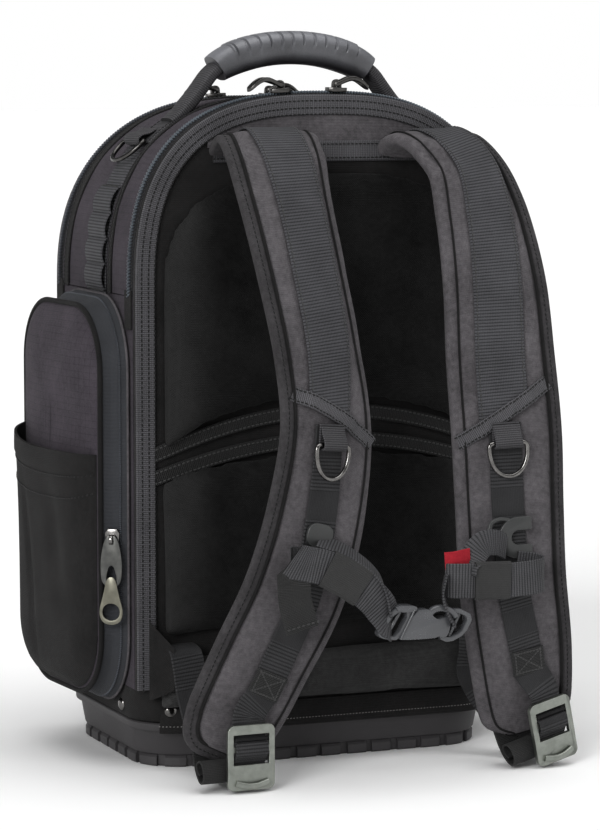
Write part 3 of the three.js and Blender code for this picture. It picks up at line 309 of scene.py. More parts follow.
def lofted(loops, ring=False, across=None):
    """A skin pulled from loop to closed loop, capped at its ends unless it is a ring.

    Its weave map runs across the loops and along their row, in mm.
    """
    rows = list(loops) + ([loops[0]] if ring else [])
    count = len(rows[0])
    bm = bmesh.new()
    weave = bm.loops.layers.uv.new("weave")
    line = [bm.verts.new(p) for p in rows[0]]
    edges = [bm.edges.new((line[i], line[(i + 1) % count])) for i in range(count)]
    first_line, first_edges = line, edges
    place = {v: (0, i) for i, v in enumerate(line)}
    along = [0.0]
    for r, loop in enumerate(rows[1:], 1):
        made = bmesh.ops.extrude_edge_only(bm, edges=edges)["geom"]
        fresh = {g for g in made if isinstance(g, bmesh.types.BMVert)}
        line = [next(e.other_vert(v) for e in v.link_edges if e.other_vert(v) in fresh) for v in line]
        for i, (v, p) in enumerate(zip(line, loop)):
            v.co = p
            place[v] = (r, i)
        edges = [bm.edges.get((line[i], line[(i + 1) % count])) for i in range(count)]
        middle = sum(loop, Vector()) / count - sum(rows[r - 1], Vector()) / count
        along.append(along[-1] + max(middle.length, (loop[0] - rows[r - 1][0]).length))
    if across is None:
        steps = [(rows[0][(i + 1) % count] - rows[0][i]).length for i in range(count)]
        across = [0.0] + list(np.cumsum(steps))
    else:
        across = list(across) + [across[0]]
    for face in bm.faces:
        columns = [place[v][1] for v in face.verts]
        wraps = 0 in columns and count - 1 in columns
        for corner in face.loops:
            r, c = place[corner.vert]
            corner[weave].uv = (across[count if wraps and c == 0 else c], along[r])
    if ring:
        bmesh.ops.remove_doubles(bm, verts=first_line + line, dist=1e-4)
    else:
        bmesh.ops.edgeloop_fill(bm, edges=first_edges)
        bmesh.ops.edgeloop_fill(bm, edges=edges)
    bmesh.ops.recalc_face_normals(bm, faces=bm.faces[:])
    return bm


def swept(section, frames, ring=False):
    """A section pulled along frames; the section's points are pairs: across and out."""
    loops = [[m @ Vector((u, v, 0.0)) for u, v in section] for m in frames]
    return lofted(loops, ring=ring, across=[u for u, v in section])


def flat_section(width, thick, lift=0.0, shift=0.0):
    half = width / 2
    soft = 0.4 * thick
    corners = ((-half + soft, 0), (0, 0), (half - soft, 0), (half, soft), (half, thick - soft),
               (half - soft, thick), (0, thick), (-half + soft, thick), (-half, thick - soft), (-half, soft))
    return [(shift + u, lift + v) for u, v in corners]


def centred_web(width, thick=WEB):
    """Section of webbing whose middle lies on its line."""
    return flat_section(width, thick, lift=-thick / 2)


def oval_section(width, thick, sides=16, power=2.0):
    """A rounded section: power 2 is an ellipse, more is squarer."""
    points = []
    for k in range(sides):
        angle = 2 * math.pi * (k + 0.5) / sides
        u, v = math.cos(angle), math.sin(angle)
        points.append((math.copysign(abs(u) ** (2 / power), u) * width / 2,
                       math.copysign(abs(v) ** (2 / power), v) * thick / 2))
    return points


def settle(name, mesh, finish, replaces=(), body="root", sharp=40.0):
    """Puts a mesh down as a piece of the bag that rides on a body."""
    obj = bpy.data.objects.new(name, mesh)
    bpy.context.scene.collection.objects.link(obj)
    mesh.materials.clear()
    mesh.materials.append(finish)
    mesh.shade_smooth()
    mesh.set_sharp_from_angle(angle=math.radians(sharp))
    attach(obj, body)
    if replaces:
        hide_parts(*replaces)
    return obj


def piece(name, bm, finish, replaces=(), body="root", sharp=40.0):
    bmesh.ops.scale(bm, vec=(MM, MM, MM), verts=bm.verts[:])
    mesh = bpy.data.meshes.new(name)
    bm.to_mesh(mesh)
    bm.free()
    return settle(name, mesh, finish, replaces, body, sharp)


def scattered(name, grain, frames, finish):
    """One joined mesh of a small shape repeated at every frame."""
    bmesh.ops.triangulate(grain, faces=grain.faces[:])
    grain.verts.index_update()
    corners = np.array([tuple(v.co) for v in grain.verts])
    faces = np.array([[v.index for v in f.verts] for f in grain.faces])
    grain.free()
    places = np.array([[tuple(row) for row in m] for m in frames])
    points = np.einsum("nij,vj->nvi", places[:, :3, :3], corners) + places[:, None, :3, 3]
    rows = faces[None] + (np.arange(len(frames)) * len(corners))[:, None, None]
    mesh = bpy.data.meshes.new(name)
    mesh.from_pydata((points.reshape(-1, 3) * MM).tolist(), [], rows.reshape(-1, 3).tolist())
    settle(name, mesh, finish, sharp=60.0)


def grain_shape(across, out, along):
    """A small rounded grain, as a stitch or a zip tooth."""
    bm = bmesh.new()
    bmesh.ops.create_icosphere(bm, subdivisions=1, radius=1.0)
    bmesh.ops.scale(bm, vec=(across, out, along), verts=bm.verts[:])
    return bm


def stitching(name, frames, finish):
    scattered(name, grain_shape(0.68, 0.45, 1.4), frames, finish)


def solid_copy(node):
    """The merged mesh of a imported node, in mm, with its flat faces whole."""
    bm = bmesh.new()
    bm.from_mesh(frame["nodes"][node].data)
    bmesh.ops.scale(bm, vec=(1 / MM,) * 3, verts=bm.verts[:])
    bmesh.ops.remove_doubles(bm, verts=bm.verts[:], dist=1e-3)
    return bm


def softened(node, width, segments=2):
    """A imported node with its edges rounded."""
    bm = solid_copy(node)
    corner = math.radians(25.0)
    bmesh.ops.dissolve_limit(bm, angle_limit=math.radians(1.0), verts=bm.verts[:], edges=bm.edges[:])
    edges = [e for e in bm.edges if e.is_manifold and e.calc_face_angle(0.0) > corner]
    bmesh.ops.bevel(bm, geom=edges, offset=width, offset_type="OFFSET", affect="EDGES", segments=segments,
                    profile=0.5, material=-1, clamp_overlap=True)
    return bm


def soft_outline(corners, count=44, rounds=2):
    """A closed outline with its corners rounded off, as evenly spaced pairs."""
    loop = np.array(corners, dtype=float)
    for _ in range(rounds):
        after = np.roll(loop, -1, axis=0)
        loop = np.stack((0.78 * loop + 0.22 * after, 0.22 * loop + 0.78 * after), axis=1).reshape(-1, 2)
    line = np.concatenate((loop, loop[:1]))
    run = np.concatenate(([0.0], np.cumsum(np.linalg.norm(np.diff(line, axis=0), axis=1))))
    stops = np.linspace(0.0, run[-1], count, endpoint=False)
    return list(zip(np.interp(stops, run, line[:, 0]), np.interp(stops, run, line[:, 1])))


def plate(outline, thick, spot, hole=None, soft=0.6):
    """A plate with rounded edges and one hole at most, drawn in X and Z, thick in Y and set in a frame."""
    def level(points, y):
        return [Vector((u, y, w)) for u, w in points]
    near, far = level(outline, -thick / 2), level(outline, thick / 2)
    if hole:
        bm = lofted([near, level(hole, -thick / 2), level(hole, thick / 2), far], ring=True)
    else:
        bm = lofted([near, far])
    edges = [e for e in bm.edges if e.is_manifold and e.calc_face_angle(0.0) > math.radians(45)]
    bmesh.ops.bevel(bm, geom=edges, offset=soft, offset_type="OFFSET", affect="EDGES", segments=2,
                    profile=0.5, material=-1, clamp_overlap=True)
    bmesh.ops.transform(bm, matrix=spot, verts=bm.verts[:])
    bmesh.ops.recalc_face_normals(bm, faces=bm.faces[:])
    return bm


def joined(*parts):
    """Several bmeshes as one."""
    whole = bmesh.new()
    for part in parts:
        mesh = bpy.data.meshes.new("part")
        part.to_mesh(mesh)
        part.free()
        whole.from_mesh(mesh)
        bpy.data.meshes.remove(mesh)
    return whole


# Shader nodes

class Term:
    """A shader socket that takes part in Python arithmetic; each operation adds a Math node."""

    def __init__(self, finish, socket):
        self.finish = finish
        self.socket = socket

    def maths(self, operation, first, second=0.0):
        return self.finish.node("ShaderNodeMath", {"operation": operation}, {0: first, 1: second})

    def __add__(self, other):
        return self.maths("ADD", self, other)

    __radd__ = __add__

    def __sub__(self, other):
        return self.maths("SUBTRACT", self, other)

    def __rsub__(self, other):
        return self.maths("SUBTRACT", other, self)

    def __mul__(self, other):
        return self.maths("MULTIPLY", self, other)

    __rmul__ = __mul__

    def __truediv__(self, other):
        return self.maths("DIVIDE", self, other)

    def __pow__(self, other):
        return self.maths("POWER", self, other)

    def sine(self):
        return self.maths("SINE", self)

    def size(self):
        return self.maths("ABSOLUTE", self)

    def over(self, level, soft):
        """0 below a level, 1 above it, with a soft step."""
        sockets = {"Value": self, "From Min": level - soft, "From Max": level + soft}
        return self.finish.node("ShaderNodeMapRange", {"interpolation_type": "SMOOTHSTEP"}, sockets)


class Shading:
    """A shader tree and its main shader."""

    def __init__(self, tree, shader):
        self.tree = tree
        self.shader = shader

    def node(self, kind, settings=None, sockets=None, output=0):
        made = self.tree.nodes.new(kind)
        for key, value in (settings or {}).items():
            setattr(made, key, value)
        for key, value in (sockets or {}).items():
            if isinstance(value, Term):
                self.tree.links.new(value.socket, made.inputs[key])
            else:
                made.inputs[key].default_value = value
        return Term(self, made.outputs[output])

    def feed(self, socket, term):
        self.tree.links.new(term.socket, self.shader.inputs[socket])

    def parts(self, vector):
        return [self.node("ShaderNodeSeparateXYZ", None, {0: vector}, k) for k in range(3)]


class Finish(Shading):
    """One material: its Principled shader and the nodes that feed it."""

    def __init__(self, name, constants):
        self.material = bpy.data.materials.new(name)
        self.material.use_nodes = True
        tree = self.material.node_tree
        super().__init__(tree, next(n for n in tree.nodes if n.type == "BSDF_PRINCIPLED"))
        for socket, value in constants.items():
            self.shader.inputs[socket].default_value = value

    def place(self):
        """Object coordinates in millimetres."""
        at = self.node("ShaderNodeTexCoord", output=3)
        return self.node("ShaderNodeVectorMath", {"operation": "SCALE"}, {0: at, "Scale": 1 / MM})

    def weave(self):
        """The piece's own weave map in millimetres: across and along."""
        return self.parts(self.node("ShaderNodeUVMap", {"uv_map": "weave"}))

    def noise(self, at, size, detail=2.0):
        sockets = {"Vector": at, "Scale": 1 / size, "Detail": detail}
        return self.node("ShaderNodeTexNoise", None, sockets)

    def blend(self, dark, light, share):
        """A colour between two sRGB colours."""
        sockets = {0: share, 6: paint(*dark), 7: paint(*light)}
        return self.node("ShaderNodeMix", {"data_type": "RGBA"}, sockets, 2)

    def raise_by(self, height, strength, distance):
        sockets = {"Strength": strength, "Distance": distance * MM, "Height": height}
        self.feed("Normal", self.node("ShaderNodeBump", None, sockets))


def paint(red, green, blue):
    """Linear colour of an sRGB colour given in 0 to 255."""
    def linear(value):
        share = value / 255
        return share / 12.92 if share <= 0.04045 else ((share + 0.055) / 1.055) ** 2.4
    return (linear(red), linear(green), linear(blue), 1.0)


# Kinds of finish; each takes its darkest and its lightest tone in sRGB

def cloth_finish(name, dark, light, pitch, grid=0.0, depth=0.35, slub=0.45, painted_edge_light=0.0):
    """Woven cloth with slubs; a grid adds a ripstop's raised squares; painted_edge_light paints light on the
    outer edges past 98 mm and painted shade on the middle.
    """
    finish = Finish(name, {"Sheen Weight": 0.04, "Sheen Roughness": 0.5, "Specular IOR Level": 0.12})
    at = finish.place()
    x, y, z = finish.parts(at)
    turn = 2 * math.pi / pitch
    threads = (z * turn).sine() * ((x * turn).sine() + (y * turn).sine())
    mottle = finish.noise(at, 28.0, 3.0)
    fuzz = finish.noise(at, 0.7, 2.0)
    thick = finish.noise(at, 3.4, 4.0)
    shade = mottle * 0.7 + fuzz * 0.5 + threads * 0.10 + thick * slub - (0.12 + 0.5 * slub)
    height = threads * 0.5 + fuzz * 0.8
    if grid:
        rows = (z * (math.pi / grid)).sine().size()
        posts = ((x + y) * (math.pi / grid)).sine().size()
        lines = (1 - rows.over(0.10, 0.08)) + (1 - posts.over(0.10, 0.08))
        shade = shade - lines * 0.22
        height = height + lines * 0.8
    if painted_edge_light:
        # painted light and shade: paler outer edges stand for the lit flanks, a darker middle for the shade
        # between the straps
        shade = shade + x.size().over(98.0, 16.0) * painted_edge_light - 0.3 * painted_edge_light
    finish.feed("Base Color", finish.blend(dark, light, shade))
    finish.feed("Roughness", fuzz * 0.2 + 0.72)
    finish.raise_by(height, 0.6, depth)
    return finish.material


def webbing_finish(name, dark, light, rib, along_ribs=False, groups=0.0):
    """Ribbed webbing; the ribs cross it, or run along it, and groups leave smooth stretches between them."""
    finish = Finish(name, {"Sheen Weight": 0.03, "Sheen Roughness": 0.4, "Specular IOR Level": 0.35})
    at = finish.place()
    across, along, _ = finish.weave()
    if along_ribs:
        across, along = along, across
    ribs = (along * (math.pi / rib)).sine().size() ** 0.6
    if groups:
        smooth = (along * (2 * math.pi / groups)).sine().over(0.15, 0.08)
        ribs = ribs * (1 - smooth) + smooth * 0.55
    threads = (across * (2 * math.pi / 1.3)).sine()
    fuzz = finish.noise(at, 0.8, 2.0)
    mottle = finish.noise(at, 22.0, 2.0)
    shade = ribs * 0.55 + threads * 0.07 + fuzz * 0.35 + mottle * 0.35 - 0.30
    finish.feed("Base Color", finish.blend(dark, light, shade))
    finish.feed("Roughness", 0.82 - ribs * 0.18)
    finish.raise_by(ribs + threads * 0.12 + fuzz * 0.2, 0.9, 0.5)
    return finish.material


def moulded_finish(name, dark, light, roughness, grain, depth, specular=0.45, painted_top_light=0.0):
    """Moulded plastic or rubber with a fine grain and scuffs; painted_top_light paints light where it faces
    up and painted shade where it faces down.
    """
    finish = Finish(name, {"Specular IOR Level": specular})
    at = finish.place()
    stipple = finish.noise(at, grain, 3.0)
    cloud = finish.noise(at, 35.0, 3.0)
    shade = cloud * 0.8 + stipple * 0.3 - 0.05
    # painted light and shade: paler where the surface faces up, darker where it faces sideways and down
    if painted_top_light:
        up = finish.parts(finish.node("ShaderNodeNewGeometry", output=1))[2]
        shade = shade + up * painted_top_light - 0.35 * painted_top_light
    finish.feed("Base Color", finish.blend(dark, light, shade))
    finish.feed("Roughness", stipple * 0.2 + cloud * 0.12 + (roughness - 0.16))
    finish.raise_by(stipple, 0.5, depth)
    return finish.material


def metal_finish(name, dark, light, roughness):
    """Plated metal with faint wear and casting grain."""
    finish = Finish(name, {"Metallic": 1.0})
    at = finish.place()
    cloud = finish.noise(at, 6.0, 4.0)
    grain = finish.noise(at, 0.5, 2.0)
    finish.feed("Base Color", finish.blend(dark, light, cloud))
    finish.feed("Roughness", cloud * 0.2 + grain * 0.1 + (roughness - 0.15))
    finish.raise_by(grain, 0.25, 0.08)
    return finish.material


def thread_finish(name, dark, light):
    finish = Finish(name, {"Specular IOR Level": 0.3, "Sheen Weight": 0.2})
    at = finish.place()
    ply = finish.noise(at, 0.6, 2.0)
    finish.feed("Base Color", finish.blend(dark, light, ply))
    finish.feed("Roughness", ply * 0.2 + 0.6)
    return finish.material


# Cloth, with the pitch of its weave in mm
GREY_CLOTH = cloth_finish("grey_ripstop", (47, 44, 49), (87, 81, 88), 1.0, grid=5.0)
STRAP_CLOTH = cloth_finish("grey_strap_cloth", (55, 53, 55), (114, 111, 114), 1.1, slub=0.7)
BLACK_CLOTH = cloth_finish("black_ballistic_cloth", (21, 21, 21), (52, 51, 51), 1.3)
# painted light and shade: the pads' outer edges are painted paler and their middle darker
PAD_CLOTH = cloth_finish("black_pad_cloth", (5, 5, 5), (46, 46, 46), 1.7, depth=0.5, painted_edge_light=0.55)
LUMBAR_CLOTH = cloth_finish("lumbar_cloth", (29, 29, 29), (80, 80, 80), 1.3)
BINDING = cloth_finish("grey_binding", (38, 37, 38), (86, 84, 86), 0.9, slub=0.7)
PIPING = cloth_finish("black_piping", (20, 20, 21), (46, 45, 45), 0.9)
RED_CLOTH = cloth_finish("red_tag_cloth", (132, 26, 40), (178, 54, 64), 0.8)

# Webbing and tape, with the pitch of their ribs in mm
WEBBING = webbing_finish("black_webbing", (16, 16, 17), (94, 94, 98), 2.3)
NARROW_WEBBING = webbing_finish("narrow_webbing", (14, 14, 15), (70, 70, 72), 2.6, groups=46.0)
CHEST_WEBBING = webbing_finish("chest_webbing", (6, 6, 7), (94, 94, 97), 2.2)
FINE_WEBBING = webbing_finish("fine_webbing", (30, 30, 31), (90, 89, 92), 1.7)
ELASTIC = webbing_finish("woven_elastic", (36, 36, 36), (74, 74, 74), 0.9)
TAIL_WEBBING = webbing_finish("tail_webbing", (22, 22, 22), (60, 60, 60), 1.2)
BORDER_TAPE = webbing_finish("border_tape", (38, 38, 39), (110, 109, 113), 1.4)
CROSS_TAPE = webbing_finish("cross_tape", (12, 12, 12), (46, 46, 46), 1.4)
ZIP_TAPE = webbing_finish("blue_grey_zip_tape", (34, 35, 38), (76, 78, 83), 1.0, along_ribs=True)
BLACK_TAPE = webbing_finish("black_zip_tape", (17, 17, 19), (46, 46, 50), 1.0, along_ribs=True)

# Plastic and rubber, with roughness, grain size and depth in mm, and specular level
TEETH = moulded_finish("blue_grey_teeth", (44, 50, 56), (108, 116, 124), 0.30, 2.0, 0.02, 0.6)
BLACK_TEETH = moulded_finish("black_teeth", (34, 36, 40), (84, 88, 96), 0.35, 2.0, 0.02, 0.6)
BASE_PLASTIC = moulded_finish("base_plastic", (46, 45, 46), (74, 72, 74), 0.50, 0.8, 0.12)
# painted light: the grip is painted paler on top and darker underneath
GRIP_RUBBER = moulded_finish("grip_rubber", (50, 50, 52), (134, 135, 140), 0.42, 0.7, 0.12, 0.6, painted_top_light=0.33)
BUCKLE_PLASTIC = moulded_finish("buckle_plastic", (62, 63, 65), (92, 93, 96), 0.24, 0.8, 0.015, 0.7)
SLIDER_PLASTIC = moulded_finish("slider_plastic", (46, 47, 47), (76, 77, 77), 0.34, 0.8, 0.05, 0.5)

# Metal, with its roughness, and thread
GUNMETAL = metal_finish("gunmetal", (70, 71, 71), (118, 118, 115), 0.34)
CHAMPAGNE = metal_finish("champagne_plate", (96, 95, 86), (140, 138, 127), 0.34)
DARK_STEEL = metal_finish("dark_steel", (56, 56, 56), (112, 110, 108), 0.30)
NICKEL = metal_finish("nickel", (78, 77, 76), (150, 148, 146), 0.22)
ALUMINIUM = metal_finish("cast_aluminium", (124, 128, 122), (170, 173, 167), 0.44)
BLACK_THREAD = thread_finish("black_thread", (8, 8, 9), (26, 26, 27))
GREY_THREAD = thread_finish("grey_thread", (42, 42, 42), (74, 74, 74))
PALE_THREAD = thread_finish("pale_thread", (92, 90, 90), (150, 148, 146))


# Base and bottom band

def level_loop(half_x, half_y, z):
    loop = round_corner_loop((-half_x, -half_y), (half_x, half_y + BASE_FRONT), BASE_FOOT["radius"])
    return [Vector((x, y, z)) for x, y in loop]


def base():
    """Moulded base: an open tray with a rolled rim and a ring of lugs round its foot."""
    sections = (
        (132.0, 77.0, 5.0), (138.6, 84.0, 31.0), (139.6, 85.0, 33.4), (140.6, 86.0, 34.0),
        (141.8, 87.2, 33.9), (142.5, 87.9, 33.0), (142.4, 87.8, 29.0), (141.9, 87.3, 27.9),
        (139.8, 85.2, 27.2), (139.2, 84.6, 26.2), (137.0, 82.4, 11.0), (136.2, 81.6, 9.4),
        (134.6, 80.0, 8.6), (134.4, 79.8, 1.2), (133.4, 78.8, 0.0),
    )
    tray = lofted([level_loop(x, y, z) for x, y, z in sections])
    piece("base_shell", tray, BASE_PLASTIC, ["base_tray"], sharp=35)
    foot = level_loop(BASE_FOOT["x"], BASE_FOOT["y"], 0.0)
    step = 1.5
    frames = frames_along(foot, lambda along: Vector((along.y, -along.x, 0.0)), step, closed=True)
    count = round(len(frames) * step / LUG["pitch"])
    height, depth = LUG["height"], LUG["depth"]
    section = [(-0.2, 0.0), (-0.2, depth - 1.2), (-1.4, depth), (-height + 1.2, depth),
               (-height, depth - 1.0), (-height - 1.4, 0.0)]
    reach = round(LUG["width"] / (2 * step))
    lugs = []
    for k in range(count):
        middle = round(len(frames) * k / count)
        run = [frames[(middle + i) % len(frames)] for i in range(-reach, reach + 1)]
        lugs.append(swept([(-u, v) for u, v in section] if run[0].col[0].z > 0 else section, run))
    piece("base_lugs", joined(*lugs), BASE_PLASTIC, sharp=30)


def bottom_band():
    """Black cloth between the base's rim and the walls, with a turned lower edge."""
    def loop(share, inset):
        puff = BAND["puff"] * math.sin(math.pi * share)
        half = BAND["half"] + (HALF_WIDTH - BAND["half"]) * share + puff - inset
        front = BAND["front"] + BASE_FRONT - share - inset
        radius = BAND["radius"] + (BAND["top_radius"] - BAND["radius"]) * share - inset
        z = BASE_RIM + GAP + (BODY_FLOOR - BASE_RIM - 2 * GAP) * share
        rear = PANEL_BACK + inset
        return [Vector((x, y, z)) for x, y in round_corner_loop((-half, rear), (half, front), radius)]
    shares = [i / 8 for i in range(9)]
    outer = [loop(s, 0.0) for s in shares]
    inner = [loop(s, CLOTH) for s in reversed(shares)]
    piece("band_cloth", lofted(outer + inner, ring=True), BLACK_CLOTH, ["bottom_band"])


def rim_binding():
    """Black binding sewn over the base's rim along the back, with a pale row of small stitches."""
    reach, radius = 106.6, 35.0
    bend = [math.radians(235 + 3.5 * k) for k in range(11)]
    left = [Vector((-reach + radius * math.cos(a), -52.4 + radius * math.sin(a), 36.0)) for a in bend]
    right = [Vector((-p.x, p.y, p.z)) for p in reversed(left)]

    def leaning(along):
        return Vector((along.y, -along.x, 0.25))
    frames = frames_along(left + right, leaning, 3.0)
    piece("rim_binding", swept(flat_section(19.0, 1.3), frames), BLACK_CLOTH)
    small = shifted(frames_along(left + right, leaning, 2.5), -4.5, 1.3)
    scattered("rim_stitches", grain_shape(0.42, 0.35, 0.8), small, PALE_THREAD)


def rivets():
    """Domed rivets through the bottom band near its rear corners."""
    spots = []
    for side in (-1, 1):
        rear = Vector((side * 119.5, PANEL_BACK - 0.2, 43.0))
        flank = Vector((side * 143.8, -45.0, 43.5))
        spots.append(basis(rear, Vector((1, 0, 0)), REARWARD, DOWN))
        spots.append(basis(flank, Vector((0, -side, 0)), Vector((side, 0, 0)), DOWN))
    dome = bmesh.new()
    bmesh.ops.create_uvsphere(dome, u_segments=20, v_segments=12, radius=5.0)
    bmesh.ops.bisect_plane(dome, geom=dome.verts[:] + dome.edges[:] + dome.faces[:], plane_co=(0, 0, 0),
                           plane_no=(0, 1, 0), clear_inner=True)
    bmesh.ops.holes_fill(dome, edges=dome.edges[:], sides=0)
    bmesh.ops.scale(dome, vec=(1.0, 0.5, 1.0), verts=dome.verts[:])
    scattered("band_rivets", dome, spots, NICKEL)


# Walls, back and zips

def side_wall():
    """Cloth that goes over the top and down both sides, slightly puffed between its seams."""
    columns, stations = 16, 90
    rear, front = REAR_ZIP + ZIP_WIDTH + GAP, FRONT_ZIP - GAP

    def loop(angle, high):
        outer, inner = [], []
        for k in range(columns + 1):
            share = k / columns
            y = rear + (front - rear) * share
            arch = arch_at(y)
            at = arch_point(arch, angle, 0.0, y)
            rise, power = arch
            way = Vector((math.copysign(abs(at.x / HALF_WIDTH) ** (power - 1), at.x) / HALF_WIDTH, 0.0,
                          (max(0.0, at.z - ARCH_START) / rise) ** (power - 1) / rise)).normalized()
            puff = math.sin(math.pi * share) ** 0.6 * (0.9 + 0.35 * math.sin(angle * 0.31 + share * 9.0))
            outer.append(at + way * (puff * high))
            inner.append(at - way * CLOTH)
        return outer + inner[::-1]
    angles = [180 - 180 * i / stations for i in range(stations + 1)]
    loops = [loop(a, min(1.0, math.sin(math.radians(a)) * 6)) for a in angles]
    piece("gusset_cloth", lofted(loops), GREY_CLOTH, ["mid_gusset"])
    ys = [REAR_ZIP + (FRONT_ZIP + ZIP_WIDTH - REAR_ZIP) * k / columns for k in range(columns + 1)]
    for name, side in SIDE.items():
        rows = []
        for i in range(13):
            z = BODY_FLOOR + (ARCH_START - 2 * GAP - BODY_FLOOR) * i / 12
            outer = [Vector((side * HALF_WIDTH, y, z)) for y in ys]
            inner = [Vector((side * (HALF_WIDTH - CLOTH), y, z)) for y in reversed(ys)]
            rows.append(outer + inner)
        piece(f"{name}_wall_cloth", lofted(rows), GREY_CLOTH)


def front_shell():
    """Plain hollow front: a crowned cloth panel inside a bound seam."""
    start = FRONT_ZIP + ZIP_WIDTH + GAP
    steps = ((0, 0.0, 0), (6, 0.5, 1.5), (11, 1.6, 4.5), (15.5, 3.4, 8.5), (19, 6.5, 14), (21.4, 10.5, 18.5),
             (22.6, 16, 25), (23.1, 30, 40), (23.3, 60, 70), (23.4, 95, 105))
    outer = [arch_loop(FRONT_ARCH, inset, BODY_FLOOR + lift, start + depth) for depth, inset, lift in steps]
    inner = [arch_loop(FRONT_ARCH, inset + CLOTH, BODY_FLOOR + lift + CLOTH, start + max(0.0, depth - CLOTH))
             for depth, inset, lift in steps]
    piece("front_cloth", lofted(inner[::-1] + outer), GREY_CLOTH, ["front_shell"], sharp=60)
    rope = arch_loop(FRONT_ARCH, 8.6, BODY_FLOOR + 16.5, start + 20.6)
    frames = frames_along(rope, FRONTWARD, TAPE_STEP, closed=True)
    piece("front_piping", swept(oval_section(3.2, 3.2, 10), frames, ring=True), PIPING)
    row = arch_loop(FRONT_ARCH, 15.0, BODY_FLOOR + 24.0, start + 22.8)
    spots = frames_along(row, FRONTWARD, LONG_STITCH, closed=True)
    stitching("front_stitches", spots, BLACK_THREAD)


def back():
    """Back wall, the tape sewn round it, the yoke tape, and the tapes between the pads."""
    edges = ((0.6, PANEL_FRONT), (0.0, PANEL_FRONT - 0.6), (0.0, PANEL_BACK + 0.6), (0.6, PANEL_BACK))
    panel = lofted([arch_loop(REAR_ARCH, inset, BODY_FLOOR + inset, y) for inset, y in edges])
    piece("back_cloth", panel, BLACK_CLOTH, ["back_panel"])
    width, thick = BORDER["width"], BORDER["thick"]
    border = arch_line(REAR_ARCH, 0.0, BODY_FLOOR, PANEL_BACK - GAP)
    tape = swept(flat_section(width, thick, shift=-width / 2), frames_along(border, REARWARD, TAPE_STEP))
    piece("border_tape", tape, BORDER_TAPE, ["back_border"])
    cord = frames_along(arch_line(REAR_ARCH, 1.9, BODY_FLOOR, PANEL_BACK + 1.4), REARWARD, 3.0)
    piece("edge_piping", swept(oval_section(4.0, 4.0, 12), cord), BINDING)
    rows = seam_rows(border, REARWARD, STITCH, (-4.4, -9.6, -14.2), thick + 0.1)
    yoke = [Vector((YOKE["half"] * (i / 10 - 1), PANEL_BACK - GAP, YOKE["z"])) for i in range(21)]
    strip = swept(flat_section(15.0, thick), frames_along(yoke, REARWARD, TAPE_STEP))
    piece("yoke_strip", strip, BORDER_TAPE, ["yoke_tape"])
    rows += seam_rows(yoke, REARWARD, SHORT_STITCH, (-5.0, 5.0), thick + 0.1)
    tape_rows = []
    for name, edge_z, middle_z in (("upper", 231.0, 259.0), ("lower", 214.0, 238.0)):
        line = []
        for i in range(61):
            off = i / 30 - 1
            z = edge_z + (middle_z - edge_z) * (1 - off ** 2)
            line.append(Vector((CROSS_TAPE_REACH * off, PANEL_BACK - 0.2 - 2.6 * (1 - off ** 10), z)))
        tape = swept(flat_section(11.0, 1.8), frames_along(line, REARWARD, TAPE_STEP))
        piece(f"{name}_cross_tape", tape, CROSS_TAPE)
        tape_rows += seam_rows(line, REARWARD, STITCH, (-3.6, 3.6), 1.9)
    stitching("back_stitches", rows, BLACK_THREAD)
    stitching("cross_tape_stitches", tape_rows, GREY_THREAD)
    loops = []
    floor = YOKE["cloth_floor"]
    for i in range(61):
        x = YOKE["cloth_half"] * (i / 30 - 1)
        high = max(arch_z(REAR_ARCH, x, width - 2.0), floor + 0.5)
        heights = [floor + (high - floor) * k / 6 for k in range(7)]
        swell = [0.5 * math.sin(math.pi * k / 6) for k in range(7)]
        face = [Vector((x, PANEL_BACK - 1.2 - s, z)) for s, z in zip(swell, heights)]
        under = [Vector((x, PANEL_BACK - 0.2, z)) for z in reversed(heights)]
        loops.append(face + under)
    piece("yoke_cloth", lofted(loops), STRAP_CLOTH)


def main_zip(name, arch, start, tape_finish, tooth_finish):
    """Arched zip: a tape with a raised middle and two rows of coil teeth."""
    foot = ARCH_START + GAP
    line = arch_line(arch, 0.0, foot, start)
    section = [(0, -CLOTH), (ZIP_WIDTH, -CLOTH), (ZIP_WIDTH, -0.3), (ZIP_WIDTH - 0.5, 0.1), (7.2, 0.3),
               (6.2, 1.4), (2.8, 1.4), (1.8, 0.3), (0.5, 0.1), (0, -0.3)]
    tape = swept(section, frames_along(line, over_the_top, TAPE_STEP))
    piece(f"{name}_tape", tape, tape_finish, [name])
    middle = arch_line(arch, 0.0, foot + 2, start + ZIP_WIDTH / 2)
    tilt = Matrix.Rotation(math.radians(22), 4, "Y")
    teeth = []
    for i, spot in enumerate(frames_along(middle, over_the_top, TOOTH_PITCH / 2)):
        side = -1 if i % 2 else 1
        teeth.append(spot @ Matrix.Translation((side * 1.1, 1.5, 0)) @ tilt)
    scattered(f"{name}_teeth", grain_shape(2.3, 1.5, 0.62), teeth, tooth_finish)
    rows = seam_rows(line, over_the_top, SHORT_STITCH, (1.1, ZIP_WIDTH - 1.1), 0.2)
    stitching(f"{name}_stitches", rows, BLACK_THREAD)


